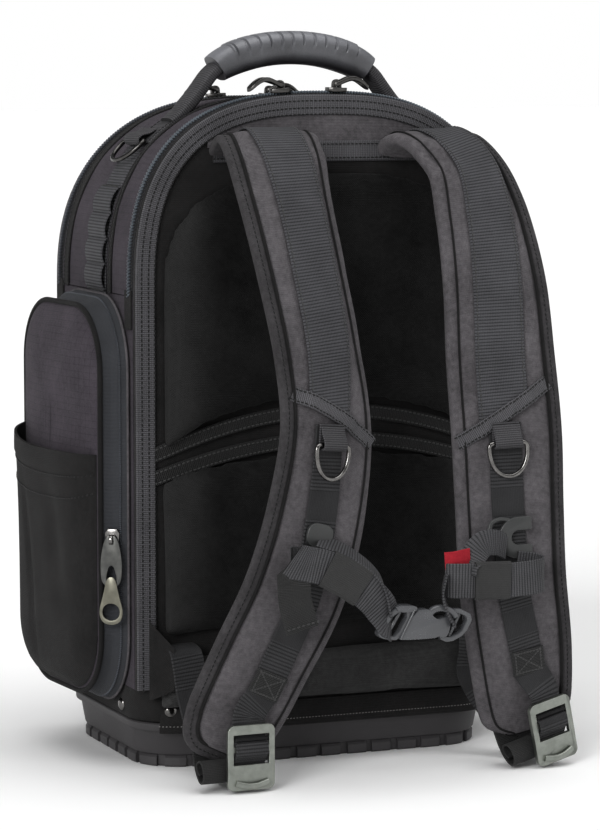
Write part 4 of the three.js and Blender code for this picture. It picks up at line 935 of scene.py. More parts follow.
def zip_ends():
    """Black cloth patches that close the feet of the zips, and seam tapes over the top."""
    for name, side in SIDE.items():
        for place, y in (("rear", REAR_ZIP + 7.0), ("front", FRONT_ZIP + 3.0)):
            line = [Vector((side * (HALF_WIDTH + 0.1), y, ARCH_START - 24 + 28 * i / 6)) for i in range(7)]
            patch = swept(flat_section(14.0, 1.6), frames_along(line, Vector((side, 0, 0)), 3.0))
            piece(f"{name}_{place}_zip_end", patch, BLACK_CLOTH)
    rows = []
    for name, y, width in (("rear", SIDE_Y - 25.0, 7.0), ("front", FRONT_ZIP - 12.0, 11.0)):
        line = arch_line(arch_at(y), 0.0, ARCH_START + 1.0, y)
        tape = swept(flat_section(width, 1.0, lift=0.7), frames_along(line, over_the_top, TAPE_STEP))
        piece(f"{name}_seam_tape", tape, BLACK_CLOTH)
        rows += seam_rows(line, over_the_top, STITCH, (-width / 2 + 1.2, width / 2 - 1.2), 1.8)
    stitching("seam_stitches", rows, BLACK_THREAD)


def zip_slider(node, finish):
    piece(f"{node}_body", softened(node, 0.5), finish, [node], sharp=50)


def sliders_and_pulls():
    for zip_name in ("rear_left_zip", "rear_right_zip", "front_left_zip", "front_right_zip"):
        zip_slider(f"{zip_name}_slider", DARK_STEEL)
        zip_pull(f"{zip_name}_pull")
    for name in SIDE:
        zip_slider(f"{name}_pocket_slider", NICKEL)
        pocket_pull(name)


def zip_pull(node):
    """Arched pull with a long eye; its free end comes down on the zip."""
    at, axis = joint_place(node)
    length = 25.0
    corners = sorted((v.co / MM for v in frame["nodes"][node].data.vertices), key=lambda p: (p - at).length)
    farthest = corners[-12:]
    along = sum(farthest, Vector()) / len(farthest) - at
    along = (along - axis * along.dot(axis)).normalized()
    across = axis if along.cross(axis).z > 0 else -axis
    outline = [(-3.0, -2.8), (3.0, -2.8), (3.6, 6), (5.2, 13), (5.2, 21), (3.4, length), (-3.4, length),
               (-5.2, 21), (-5.2, 13), (-3.6, 6)]
    eye = [(-2.2, 9), (2.2, 9), (3.2, 14), (3.2, 19.5), (1.6, 22), (-1.6, 22), (-3.2, 19.5), (-3.2, 14)]
    tab = plate(soft_outline(outline), 3.2, Matrix(), soft_outline(eye), 0.6)
    for v in tab.verts:
        run = clamped(v.co.z / length)
        v.co.y += 5.2 * math.sin(math.pi * run) ** 1.2 - 2.2 * run ** 2
    bmesh.ops.transform(tab, matrix=basis(at, across, along.cross(across), along), verts=tab.verts[:])
    piece(f"{node}_tab", tab, DARK_STEEL, [node], body=node, sharp=50)


def pocket_pull(name):
    """Two tabs: a tapered one with a slot and, through that, a pale one that ends in a wide ring."""
    node = f"{name}_pocket_pull"
    at, axis = joint_place(node)
    across = -axis
    seat = basis(at, across, DOWN.cross(across), DOWN)
    first = [(-4.5, -3.5), (4.5, -3.5), (8.2, 14), (7.8, 30), (3.5, 35), (-3.5, 35), (-7.8, 30), (-8.2, 14)]
    slot = [(-1.4, 19), (1.4, 19), (3.6, 26), (3.4, 30), (1.2, 32), (-1.2, 32), (-3.4, 30), (-3.6, 26)]
    upper = plate(soft_outline(first), 1.8, seat, soft_outline(slot), 0.4)
    piece(f"{name}_pull_tab", upper, GUNMETAL, [node], body=node, sharp=50)
    second = [(-3.2, 27), (3.2, 27), (5.8, 40), (9.2, 52), (7.2, 60), (0, 62.6), (-7.2, 60), (-9.2, 52),
              (-5.8, 40)]
    ring = [(-2.2, 46.4), (2.2, 46.4), (5.4, 48.6), (6.6, 52.6), (5.2, 57), (0, 59.4), (-5.2, 57),
            (-6.6, 52.6), (-5.4, 48.6)]
    over = seat @ Matrix.Translation((0, 1.5, 0))
    lower = plate(soft_outline(second), 1.6, over, soft_outline(ring), 0.4)
    piece(f"{name}_pull_ring", lower, CHAMPAGNE, body=node, sharp=50)


# Pads

def stuffed(name, node, cap, finish):
    """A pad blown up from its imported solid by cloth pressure, by cap mm at most, and flat at the back."""
    bm = solid_copy(node)
    bmesh.ops.scale(bm, vec=(PAD_SPREAD * MM, MM, MM), verts=bm.verts[:])
    mesh = bpy.data.meshes.new(name)
    bm.to_mesh(mesh)
    bm.free()
    obj = bpy.data.objects.new(name, mesh)
    scene = bpy.context.scene
    scene.collection.objects.link(obj)

    def baked():
        return bpy.data.meshes.new_from_object(obj.evaluated_get(bpy.context.evaluated_depsgraph_get()))
    remesh = obj.modifiers.new("even", "REMESH")
    remesh.mode = "VOXEL"
    remesh.voxel_size = 4 * MM
    obj.data = baked()
    obj.modifiers.clear()
    start = np.empty(len(obj.data.vertices) * 3)
    obj.data.vertices.foreach_get("co", start)
    moved = start.copy()
    cloth = obj.modifiers.new("stuffing", "CLOTH")
    cloth.settings.use_pressure = True
    cloth.settings.uniform_pressure_force = 4.0
    cloth.settings.effector_weights.gravity = 0.0
    cloth.point_cache.frame_end = 24
    for moment in range(1, 21):
        scene.frame_set(moment)
    shaped = baked()
    shaped.vertices.foreach_get("co", moved)
    bpy.data.meshes.remove(shaped)
    obj.modifiers.clear()
    scene.frame_set(1)
    start, moved = start.reshape(-1, 3), moved.reshape(-1, 3)
    step = moved - start
    length = np.linalg.norm(step, axis=1, keepdims=True)
    shape = start + step * np.minimum(1.0, cap * MM / np.maximum(length, 1e-9))
    shape[:, 1] = np.minimum(shape[:, 1], (PANEL_BACK - GAP) * MM)
    obj.data.vertices.foreach_set("co", shape.ravel())
    mesh = obj.data
    bpy.data.objects.remove(obj)
    pad = settle(name, mesh, finish, [node], sharp=80)
    smooth = pad.modifiers.new("soft", "SUBSURF")
    smooth.levels = 1
    smooth.render_levels = 1


def back_pads():
    stuffed("upper_back_pad", "upper_pad", 5.0, PAD_CLOTH)
    stuffed("lower_back_pad", "lower_pad", 5.0, PAD_CLOTH)
    stuffed("lumbar_roll", "lumbar_pad", 4.0, LUMBAR_CLOTH)


# Carry handle

def handle_line():
    """Middle line of the handle, from the left side of the top over to the right."""
    arch = arch_at(HANDLE_Y)
    half = [(98, arch_z(arch, 98, -3.9)), (88, arch_z(arch, 88, -3.9) + 0.6), (80, 485), (72, 495),
            (64, 505), (52, 513), (34, 519.5), (16, 522.8)]
    left = [Vector((-x, HANDLE_Y, z)) for x, z in half]
    right = [Vector((x, HANDLE_Y, z)) for x, z in reversed(half)]
    return smooth_line(left + [Vector((0, HANDLE_Y, 523.6))] + right, 160)


def handle():
    """Webbing loop that flattens at its ends, sewn-down tabs, and a ribbed grip round its middle."""
    line = handle_line()
    loops = []
    for spot in frames_along(line, over_the_top, 2.5):
        flat = clamped((abs(spot.translation.x) - HANDLE_TAB["start"]) / 12.0)
        section = oval_section(24.0, 10.5 - 5.0 * flat, 20, 3.0)
        loops.append([spot @ Vector((u, v - flat, 0.0)) for u, v in section])
    strap = lofted(loops, across=[u for u, v in section])
    piece("handle_webbing", strap, FINE_WEBBING, ["handle_strap"])
    arch = arch_at(HANDLE_Y)
    rows = []
    for name, side in SIDE.items():
        low, high = sorted((side * HANDLE_TAB["start"], side * HANDLE_TAB["end"]))
        xs = [low + (high - low) * i / 12 for i in range(13)]
        line_on_top = [Vector((x, HANDLE_Y + 4.0, arch_z(arch, x, -0.8))) for x in xs]
        tab = swept(flat_section(29.0, 2.2), frames_along(line_on_top, over_the_top, 2.0))
        piece(f"{name}_handle_tab", tab, FINE_WEBBING)
        rows += seam_rows(line_on_top, over_the_top, 3.0, (-12.0, 12.0), 2.4)
    stitching("handle_tab_stitches", rows, BLACK_THREAD)
    inside = [p for p in line if abs(p.x) <= GRIP["half"]]
    pitch = GRIP["groove_pitch"]
    loops = []
    for spot in frames_along(inside, over_the_top, 0.9):
        x = spot.translation.x
        taper = 1 - 0.14 * (abs(x) / GRIP["half"]) ** 6
        grooved = abs((x + 100.0) % pitch - pitch / 2) < 0.7
        ring = []
        for u, v in oval_section(2 * GRIP["across"] * taper, 2 * GRIP["up"] * taper, GRIP["sides"], 3.0):
            edge = 1.0
            if v > 0.215 * GRIP["up"] * taper and abs(x) < GRIP["panel"]:
                edge = 0.97 if grooved else 1.065
            ring.append(spot @ Vector((u * edge, v * edge, 0.0)))
        loops.append(ring)
    piece("grip", lofted(loops), GRIP_RUBBER, ["handle_grip"], sharp=35)


# Rings and side webbing

def d_ring(name, node, seat, ring, finish):
    """A D-ring about its bar: X along the bar, Z away from the bow, Y in towards the bag."""
    half = ring["width"] / 2
    bend = 3.0
    bar = [Vector((-half + bend, 0, 0)), Vector((0, 0, 0)), Vector((half - bend, 0, 0))]
    corner = [Vector((half - bend * (1 - math.sin(a)), 0, -bend * (1 - math.cos(a))))
              for a in (math.radians(k * 15) for k in range(1, 6))]
    bow = []
    for i in range(37):
        angle = math.pi * i / 36
        drop = bend + (ring["drop"] - bend) * math.sin(angle) ** 0.85
        bow.append(Vector((half * math.cos(angle), 0, -drop)))
    other_corner = [Vector((-p.x, p.y, p.z)) for p in reversed(corner)]
    placed = [seat @ p for p in bar + corner + bow + other_corner]
    frames = frames_along(placed, seat.to_3x3() @ FRONTWARD, 1.5, closed=True)
    wire = swept(oval_section(WIRE_LOOK, WIRE_LOOK, 14), frames, ring=True)
    piece(name, wire, finish, [node], body=node)


def ring_tab(name, node, seat, ring):
    """Webbing folded round a ring's bar and sewn down above it."""
    turn = WIRE / 2 + 0.5 + WEB / 2
    line = [Vector((0, turn, ring["tab"] + 2)), Vector((0, turn, ring["tab"] / 2))]
    line += [Vector((0, turn * math.cos(a), -turn * math.sin(a)))
             for a in (math.radians(k * 20) for k in range(0, 10))]
    line += [Vector((0, -turn * 0.75, 3.5)), Vector((0, turn - 2 * WEB, WIRE + 4.0)),
             Vector((0, turn - 1.3 * WEB, ring["tab"]))]
    placed = [seat @ p for p in smooth_line(line, 60)]
    across = seat.to_3x3() @ Vector((1, 0, 0))
    frames = frames_along(placed, lambda along: along.cross(across), 1.0)
    tab = swept(centred_web(ring["width"] - 2 * WIRE), frames)
    piece(name, tab, FINE_WEBBING, [node])


def joint_place(body):
    joint = next(j for j in frame["joints"] if j["child"] == body)
    return Vector(joint["pos_m"]) / MM, Vector(joint["axis"])


def ring_seat(body, up, inward):
    """A ring's own frame: X along its bar, Y in towards the bag, Z up the tab."""
    at, axis = joint_place(body)
    across = -axis
    up = (up - across * up.dot(across)).normalized()
    inward = up.cross(across) if up.cross(across).dot(inward) > 0 else across.cross(up)
    return basis(at, across, inward, up)


def side_webbing(name, side):
    """Daisy chain up the bag's side: a flat strip, humped webbing tacked over it, and a ring on its tab."""
    arch = arch_at(SIDE_Y)
    outward = Vector((side, 0, 0))

    def on_side(z, lift):
        return Vector((side * arch_x(arch, z, -lift), SIDE_Y, z))
    heights = [ARCH_START - 2 + (SIDE_RING_Z + 15 - ARCH_START) * i / 60 for i in range(61)]
    under = frames_along([on_side(z, 0.5) for z in heights], outward, 3.0)
    strips = [swept(flat_section(SIDE_WIDTH - 4, 1.2), under)]
    run = DAISY["end"] - DAISY["start"]
    line = []
    for i in range(97):
        height = run * i / 96
        loop = abs(math.sin(math.pi * DAISY["loops"] * height / run)) ** 0.55
        line.append(on_side(DAISY["start"] + height, 1.9 + (DAISY["hump"] + 0.6) * loop))
    strips.append(swept(flat_section(SIDE_WIDTH, 1.3), frames_along(line, outward, 0.9)))
    piece(f"{name}_daisy_webbing", joined(*strips), WEBBING, [f"{name}_side_webbing"])
    tacks = []
    for k in range(DAISY["loops"] + 1):
        z = DAISY["start"] + run * k / DAISY["loops"]
        ends = [on_side(z, 3.4) + Vector((0, y, 0)) for y in (-SIDE_WIDTH / 2 + 2, SIDE_WIDTH / 2 - 2)]
        tacks += seam_rows(ends, outward, 1.9, (-0.8, 0.8), 0.0)
    stitching(f"{name}_daisy_tacks", tacks, BLACK_THREAD)
    up = (on_side(SIDE_RING_Z + 8, 0) - on_side(SIDE_RING_Z, 0)).normalized()
    seat = ring_seat(f"{name}_side_ring", up, -outward)
    ring_tab(f"{name}_side_ring_loop", f"{name}_side_ring_tab", seat, SIDE_RING)
    d_ring(f"{name}_side_d_ring", f"{name}_side_ring", seat, SIDE_RING, DARK_STEEL)


# Side pockets

def pocket_lean(x, y):
    """A stand-off from the bag's middle, with the pocket's growth towards its front edge added."""
    out = clamped((x - POCKET_ROOT) / (POCKET_LEAN_END - POCKET_ROOT))
    return x + POCKET_LEAN * out * (y - POCKET["rear"]) / (POCKET["front"] - POCKET["rear"])


def pocket_loop(side, inset, x, dent=None):
    """The pocket's rounded outline, drawn in by inset, at a stand-off."""
    low = (POCKET["rear"] + inset, POCKET["floor"] + inset)
    high = (POCKET["front"] - inset, POCKET["top"] - inset)
    loop = round_corner_loop(low, high, max(2.0, POCKET["radius"] - inset), arc=12, runs=(8, 22))
    points = []
    for y, z in loop:
        stand = pocket_lean(x, y) - (dent(y, z) if dent else 0.0)
        points.append(Vector((side * stand, y, z)))
    return points


def face_dent(y, z):
    """Slack in the pocket's face above the slip pocket's hem."""
    low = math.exp(-((y + 20) / 30) ** 2 - ((z - 262) / 26) ** 2)
    ripple = 0.5 * math.sin(0.11 * z + 0.07 * y) * math.sin(0.045 * y + 1.0)
    return 2.4 * low + ripple


def side_pocket(name, side):
    """Zipped pocket: gusset, zip tape with its coil, bead, piping, slack face and slip pocket."""
    root, seam = POCKET_ROOT, POCKET_ZIP["root"] - GAP

    def sleeve(rows):
        outer = [pocket_loop(side, i, x) for i, x in rows]
        inner = [pocket_loop(side, i + CLOTH, x) for i, x in reversed(rows)]
        return lofted(outer + inner, ring=True)

    def away(along):
        return Vector((side, 0, 0)) + 0.9 * Vector((0, along.z, -along.y))

    def round_pocket(inset, x, pitch):
        return frames_along(pocket_loop(side, inset, x), away, pitch, closed=True)
    gusset = sleeve([(0.0, root), (-1.0, (root + seam) / 2), (-1.4, seam)])
    piece(f"{name}_pocket_gusset_cloth", gusset, STRAP_CLOTH, [f"{name}_pocket_gusset"])
    tape = sleeve([(-1.2, POCKET_ZIP["root"]), (-0.3, 150.4), (0.7, 152.2), (0.8, 152.8), (1.2, 154.4),
                   (1.8, 154.9), (3.2, 156.6), (POCKET_ZIP["inset"], POCKET_ZIP["end"]), (5.3, 165.4)])
    piece(f"{name}_pocket_zip_tape", tape, ZIP_TAPE, [f"{name}_pocket_zip"])
    coil = round_pocket(0.7, 153.6, 1.5)
    scattered(f"{name}_pocket_coil", grain_shape(1.1, 0.5, 0.55), coil, BLACK_TEETH)
    bead = swept(oval_section(2.0, 2.0, 10), round_pocket(-1.4, seam + 0.2, 3.0), True)
    piece(f"{name}_pocket_zip_bead", bead, STRAP_CLOTH)
    rope = swept(oval_section(4.0, 4.0, 12), round_pocket(5.6, 166.6, 3.0), True)
    piece(f"{name}_pocket_piping", rope, PIPING)

    steps = ((6.2, 164.6), (6.6, 166.6), (9.5, 168.8), (18, 171.8), (31, 174.8), (48, 177.2), (62, 178.4),
             (74, 178.8))
    rows = smooth_line([Vector((inset, x, 0)) for inset, x in steps], 26)
    outer = [pocket_loop(side, p.x, p.y, face_dent if p.x > 13 else None) for p in rows]
    inner = [pocket_loop(side, p.x + CLOTH, p.y - CLOTH if i else p.y) for i, p in enumerate(rows)]
    piece(f"{name}_pocket_face_cloth", lofted(inner[::-1] + outer), GREY_CLOTH,
          [f"{name}_pocket_face"], sharp=70)
    slip_pocket(name, side)


def pocket_depth(y, z):
    """Distance in from the pocket's rounded outline."""
    radius = POCKET["radius"]
    qy = abs(y - (POCKET["rear"] + POCKET["front"]) / 2) - (POCKET["front"] - POCKET["rear"]) / 2 + radius
    qz = abs(z - (POCKET["floor"] + POCKET["top"]) / 2) - (POCKET["top"] - POCKET["floor"]) / 2 + radius
    return radius - math.hypot(max(qy, 0.0), max(qz, 0.0)) - min(max(qy, qz), 0.0)


def slip_point(across, height):
    """Place of the slip pocket's cloth; across runs from rear to front, height from foot to hem."""
    rear, front = POCKET["rear"] + SLIP["edge"], POCKET["front"] - SLIP["edge"]
    corner = POCKET["radius"] - SLIP["edge"]
    y = rear + (front - rear) * across
    from_edge = min(y - rear, front - y)
    run = max(0.0, corner - from_edge)
    low = POCKET["floor"] + SLIP["edge"] + corner - math.sqrt(max(0.0, corner ** 2 - run ** 2))
    hem = SLIP["hem"] + SLIP["rise"] * (2 * across - 1) ** 2 * across
    z = low + (hem - low) * height
    inset = max(0.0, min(from_edge, pocket_depth(y, z) - SLIP["edge"]))
    stand = 1 - math.exp(-inset / SLIP["reach"])
    crease = math.exp(-((y - 44 + 22 * (1 - height)) / 4.0) ** 2) * math.sin(math.pi * min(1.0, height * 1.1))
    fold = math.exp(-((y + 8 + 30 * (1 - height)) / 11.0) ** 2) * math.exp(-((height - 0.62) / 0.25) ** 2)
    edge = 6.0 * math.exp(-inset / 5.0)
    swell = (SLIP["bulge"] + SLIP["mouth"] * height ** 3) * stand
    x = SLIP["stand"] - edge + swell - 2.4 * crease - 2.2 * fold
    return y, z, x


def slip_pocket(name, side):
    """Open pocket on the zipped one, with a turned hem and two rows of stitches."""
    columns, rows = 44, 40
    loops = []
    for i in range(rows + 1):
        height = i / rows
        lip = 0.0
        if height > SLIP["turned"]:
            share = (height - SLIP["turned"]) / (1 - SLIP["turned"])
            lip = 0.5 + 0.9 * math.sin(math.pi * min(1.0, share * 0.5 + 0.5))
        outer, inner = [], []
        for k in range(columns + 1):
            across = 0.5 - 0.5 * math.cos(math.pi * k / columns)
            y, z, x = slip_point(across, height)
            outer.append(Vector((side * pocket_lean(x + lip, y), y, z)))
            inner.append(Vector((side * pocket_lean(x - WEB, y), y, z)))
        loops.append(outer + inner[::-1])
    piece(f"{name}_slip_pocket_cloth", lofted(loops), BLACK_CLOTH, [f"{name}_slip_pocket"],
          sharp=60)

    spots = []
    for height in (0.895, 0.80):
        line = []
        for k in range(61):
            y, z, x = slip_point(0.01 + 0.98 * k / 60, height)
            line.append(Vector((side * pocket_lean(x + 0.4, y), y, z)))
        spots += frames_along(line, Vector((side, 0, 0)), STITCH)
    stitching(f"{name}_slip_stitches", spots, BLACK_THREAD)


# Shoulder straps

class Strap:
    """One shoulder strap's middle line, width, turn and webbing shift."""

    def __init__(self, rows):
        self.places = [Vector(r[:3]) for r in rows]
        self.sizes = [Vector(r[3:]) for r in rows]

    def at(self, share):
        """Frame, width and webbing shift: X across, Y out from the back, Z down along the strap."""
        width, turn, shift = spline(self.sizes, share, even=True)
        low, high = max(0.0, share - 1e-3), min(1.0, share + 1e-3)
        along = (spline(self.places, high) - spline(self.places, low)).normalized()
        across = Vector((math.cos(math.radians(turn)), math.sin(math.radians(turn)), 0.0))
        across = (across - along * across.dot(along)).normalized()
        return basis(spline(self.places, share), across, along.cross(across), along), width, shift

    def share_at(self, z):
        """Share of the strap, below its top bend, whose middle line is at a height."""
        shares = [0.3 + 0.7 * i / 700 for i in range(701)]
        return min(shares, key=lambda s: abs(spline(self.places, s).z - z))

    def on(self, share, across, lift):
        """Point on the strap's outer face; across is in mm from the middle line."""
        spot = self.at(share)[0]
        return spot @ Vector((across, STRAP_THICK / 2 + lift, 0.0))

    def out(self, share):
        return self.at(share)[0].col[1].to_3d()


STRAPS = {name: Strap(rows) for name, rows in STRAP_ROWS.items()}


def strap_half(share, width):
    """Half width of a strap, rounded off at its lower end."""
    end = clamped((share - FLANGE["bend"]) / 0.045)
    return width / 2 * math.sqrt(1 - 0.55 * end ** 2.4)


def strap_core(name, share):
    """Middle and width of the padded part, which stops short of the outer flange."""
    half = strap_half(share, STRAPS[name].at(share)[1])
    flat = FLANGE["width"] - FLANGE["overlap"]
    return -SIDE[name] * flat / 2, 2 * half - flat


def flange_frames(name):
    """Frames down the strap's outer edge, round its lower corner and across its foot."""
    strap, side = STRAPS[name], SIDE[name]
    rim = FLANGE["width"] / 2
    bend, corner = FLANGE["bend"], FLANGE["corner"]
    route = []
    for i in range(131):
        share = bend * i / 130
        route.append((share, strap.at(share)[1] / 2 - rim))
    half = strap.at(0.95)[1] / 2 - rim
    for k in range(1, 10):
        angle = math.radians(10 * k)
        route.append((bend + FLANGE["bend_run"] * math.sin(angle), half - corner * (1 - math.cos(angle))))
    for k in range(1, 13):
        route.append((FLANGE["foot"], half - corner - (2 * half - 25.0) * k / 12))
    line = [strap.at(share)[0] @ Vector((side * u, 0.0, 0.0)) for share, u in route]
    ways = [strap.out(share) for share, _ in route]
    return frames_along(line, ways, STITCH)


def strap_pad(name):
    """Padded strap with a flat flange round its outer edge and foot, a piped seam, and an inner seam."""
    strap, side = STRAPS[name], SIDE[name]
    steps, sides = 150, 44
    cores, seam, ways = [], [], []
    for i in range(steps + 1):
        share = STRAP_FOOT * i / steps
        spot = strap.at(share)[0]
        middle, core = strap_core(name, share)
        bend = 0.8 * math.exp(-((share - 0.2) / 0.09) ** 2)
        loop = []
        for u, v in oval_section(core, STRAP_THICK - 0.8, sides, 3.0):
            wave = 0.25 * math.sin(share * 92 + u * 0.08)
            wave += (0.25 + bend) * math.sin(share * 61 - u * 0.13 + 2.0)
            loop.append(spot @ Vector((middle + u, v + (wave * 0.7 if v > 0 else 0.0), 0.0)))
        cores.append(loop)
        seam.append(spot @ Vector((middle - side * (core / 2 - 8.0), STRAP_THICK / 2 - 0.75, 0.0)))
        ways.append(strap.out(share))
    pad = piece(f"{name}_shoulder_pad", lofted(cores), STRAP_CLOTH, [f"{name}_strap_pad"],
                sharp=80)
    edge = flange_frames(name)
    flat = [(u, v + 0.4) for u, v in oval_section(FLANGE["width"], FLANGE["thick"], 18, 5.0)]
    piece(f"{name}_strap_flange", swept(flat, edge), BINDING, sharp=60)
    pipes = swept(oval_section(2.6, 2.6, 10), shifted(edge, -side * 2.9, FLANGE["thick"] / 2 + 1.0))
    inner = swept(oval_section(1.7, 1.3, 8), frames_along(seam, ways, 3.0))
    piece(f"{name}_strap_piping", joined(pipes, inner), PIPING)
    stitching(f"{name}_flange_stitches", shifted(edge, side * 2.2, FLANGE["thick"] / 2 + 0.5), BLACK_THREAD)


def band_on_strap(strap, low, high, width, lift):
    """Webbing laid on a strap's face between two shares."""
    steps = 90
    frames = []
    for i in range(steps + 1):
        spot, _, shift = strap.at(low + (high - low) * i / steps)
        frames.append(spot @ Matrix.Translation((shift, STRAP_THICK / 2 + lift, 0.0)))
    return swept(flat_section(width, WEB), frames)


def slant_middle(name):
    """Width and webbing shift of the strap at the middle of the slanting tape."""
    strap = STRAPS[name]
    return strap.at(strap.share_at(RING_Z[name] + SLANT["middle"]))[1:]


def slant_share(name, u):
    """Share of the strap at which the slanting tape crosses a line u mm from the strap's middle."""
    half = slant_middle(name)[0] / 2
    across = (half - SLANT["outer"] - SIDE[name] * u) / (2 * half - SLANT["insets"])
    return STRAPS[name].share_at(RING_Z[name] + SLANT["top"] - SLANT["drop"] * across)


def cloth_height(name, share, u):
    """Height of the padded cloth above the strap's middle line."""
    middle, core = strap_core(name, share)
    part = min(0.97, abs(u - middle) / (core / 2))
    return (STRAP_THICK - 0.8) / 2 * (1 - part ** 3) ** (1 / 3)


def slant_line(name):
    """Line of the slanting tape over the strap's face, from its outer flange to its inner edge."""
    strap, side = STRAPS[name], SIDE[name]
    half = slant_middle(name)[0] / 2
    line, ways = [], []
    for i in range(41):
        u = side * (half - SLANT["outer"] - (2 * half - SLANT["insets"]) * i / 40)
        share = slant_share(name, u)
        shift = strap.at(share)[2]
        over = clamped((WIDE_WEB / 2 + 6.0 - abs(u - shift)) / 6.0)
        on_cloth = cloth_height(name, share, u) - STRAP_THICK / 2 + 0.3
        line.append(strap.on(share, u, on_cloth + (WEB + 0.5 - on_cloth) * over))
        ways.append(strap.out(share))
    return line, ways


def wide_webbing(name):
    """Wide webbing down the strap, cut on the slant under the tape that covers its foot."""
    strap = STRAPS[name]
    slant, outs = slant_line(name)
    middle = len(slant) // 2
    band = band_on_strap(strap, WIDE_START, strap.share_at(RING_Z[name] + 8.0), WIDE_WEB, 0.2)
    down = (slant[-1] - slant[0]).cross(outs[middle])
    if down.z > 0:
        down.negate()
    whole = band.verts[:] + band.edges[:] + band.faces[:]
    cut = bmesh.ops.bisect_plane(band, geom=whole, plane_co=slant[middle], plane_no=down,
                                 clear_outer=True)["geom_cut"]
    bmesh.ops.edgeloop_fill(band, edges=[g for g in cut if isinstance(g, bmesh.types.BMEdge)])
    piece(f"{name}_wide_band", band, WEBBING, [f"{name}_wide_webbing"])
    rows = []
    for off in (2.2 - WIDE_WEB / 2, WIDE_WEB / 2 - 2.2):
        line, ways = [], []
        foot = slant_share(name, slant_middle(name)[1] + off)
        for i in range(81):
            share = WIDE_START + (foot - WIDE_START) * i / 80
            line.append(strap.on(share, strap.at(share)[2] + off, WEB + 0.3))
            ways.append(strap.out(share))
        rows += frames_along(line, ways, STITCH)
    stitching(f"{name}_wide_stitches", rows, GREY_THREAD)


def diagonal_tape(name):
    """Tape sewn slantwise over the foot of the wide webbing."""
    line, ways = slant_line(name)
    frames = frames_along(line, ways, 2.0)
    piece(f"{name}_diagonal_tape", swept(flat_section(11.0, 1.4), frames), BORDER_TAPE)
    rows = seam_rows(line, ways, SHORT_STITCH, (-4.0, 4.0), 1.5)
    stitching(f"{name}_diagonal_stitches", rows, BLACK_THREAD)


def ladder_frame(name):
    """A ladder buckle's own frame: X across its slots, Y in towards the bag, Z up."""
    ladder = LADDERS[name]
    turn = Matrix.Rotation(math.radians(ladder["turn"]), 4, "Z")
    roll = Matrix.Rotation(math.radians(-ladder["roll"]), 4, "Y")
    return Matrix.Translation(ladder["at"]) @ turn @ roll


def narrow_webbing(name):
    """Webbing from the ring down the strap, behind the buckle's top bar and out through its upper slot."""
    strap = STRAPS[name]
    ladder = ladder_frame(name)
    top, foot = strap.share_at(RING_Z[name] + 14.0), strap.share_at(NARROW_FOOT_Z)
    points, outs = [], []
    for i in range(41):
        share = top + (foot - top) * i / 40
        points.append(strap.on(share, strap.at(share)[2], 0.3 + WEB / 2))
        outs.append(strap.out(share))
    behind = LADDER["thick"] / 2 + GAP + WEB / 2
    low, high = LADDER["slot_z"], LADDER["slot_z"] + LADDER["slot"]
    tail = ((behind, high + 9), (behind, high - 1.5), (behind, low + 2.4), (0.4, low + 0.2),
            (-behind, low + 1.0))
    points += [ladder @ Vector((0.0, y, z)) for y, z in tail]
    turned = ladder.to_3x3()
    outs += [turned @ REARWARD] * 3 + [turned @ Vector((0, -0.5, 0.8))] * 2
    frames = frames_along(smooth_line(points, 200), smooth_line(outs, 200), 1.6)
    piece(f"{name}_narrow_band", swept(centred_web(NARROW_WEB), frames), NARROW_WEBBING,
          [f"{name}_narrow_webbing"])
    share = strap.share_at(BOX_STITCH["z"])
    spot, _, shift = strap.at(share)
    face, out = STRAP_THICK / 2 + WEB, strap.out(share)
    corners = [spot @ Vector((shift + u * BOX_STITCH["across"], face + 1.2, w * BOX_STITCH["along"]))
               for u, w in ((-1, -1), (1, -1), (1, 1), (-1, 1))]
    box = []
    for first, second in ((0, 1), (1, 2), (2, 3), (3, 0), (0, 2), (1, 3)):
        box += frames_along([corners[first], corners[second]], out, 2.6)
    reach = BOX_STITCH["patch"]
    line = [spot @ Vector((shift, face + 0.2, w)) for w in (-reach, 0.0, reach)]
    patch = swept(flat_section(NARROW_WEB + 0.6, 1.0), frames_along(line, out, 3.0))
    piece(f"{name}_box_patch", patch, TAIL_WEBBING)
    stitching(f"{name}_box_stitches", box, GREY_THREAD)


def strap_ring(name):
    strap = STRAPS[name]
    spot = strap.at(strap.share_at(RING_Z[name]))[0]
    seat = ring_seat(f"{name}_strap_ring", -spot.col[2].to_3d(), -spot.col[1].to_3d())
    ring_tab(f"{name}_ring_loop", f"{name}_ring_tab", seat, STRAP_RING)
    d_ring(f"{name}_strap_d_ring", f"{name}_strap_ring", seat, STRAP_RING, NICKEL)


def ladder_buckle(name):
    """Cast ladder buckle with a raised thumb lip along its foot."""
    ladder = ladder_frame(name)
    body = softened(f"{name}_ladder_buckle", 1.1, 3)
    line = []
    for i in range(25):
        bow = math.sin(math.pi * i / 24)
        line.append(ladder @ Vector((12.5 * (i / 12 - 1), -2.6 - 1.4 * bow, -17.6 - 2.4 * bow)))
    lip = swept(oval_section(4.6, 3.2, 12, 2.6), frames_along(line, ladder.to_3x3() @ REARWARD, 1.0))
    piece(f"{name}_ladder_frame", joined(body, lip), ALUMINIUM, [f"{name}_ladder_buckle"],
          sharp=50)


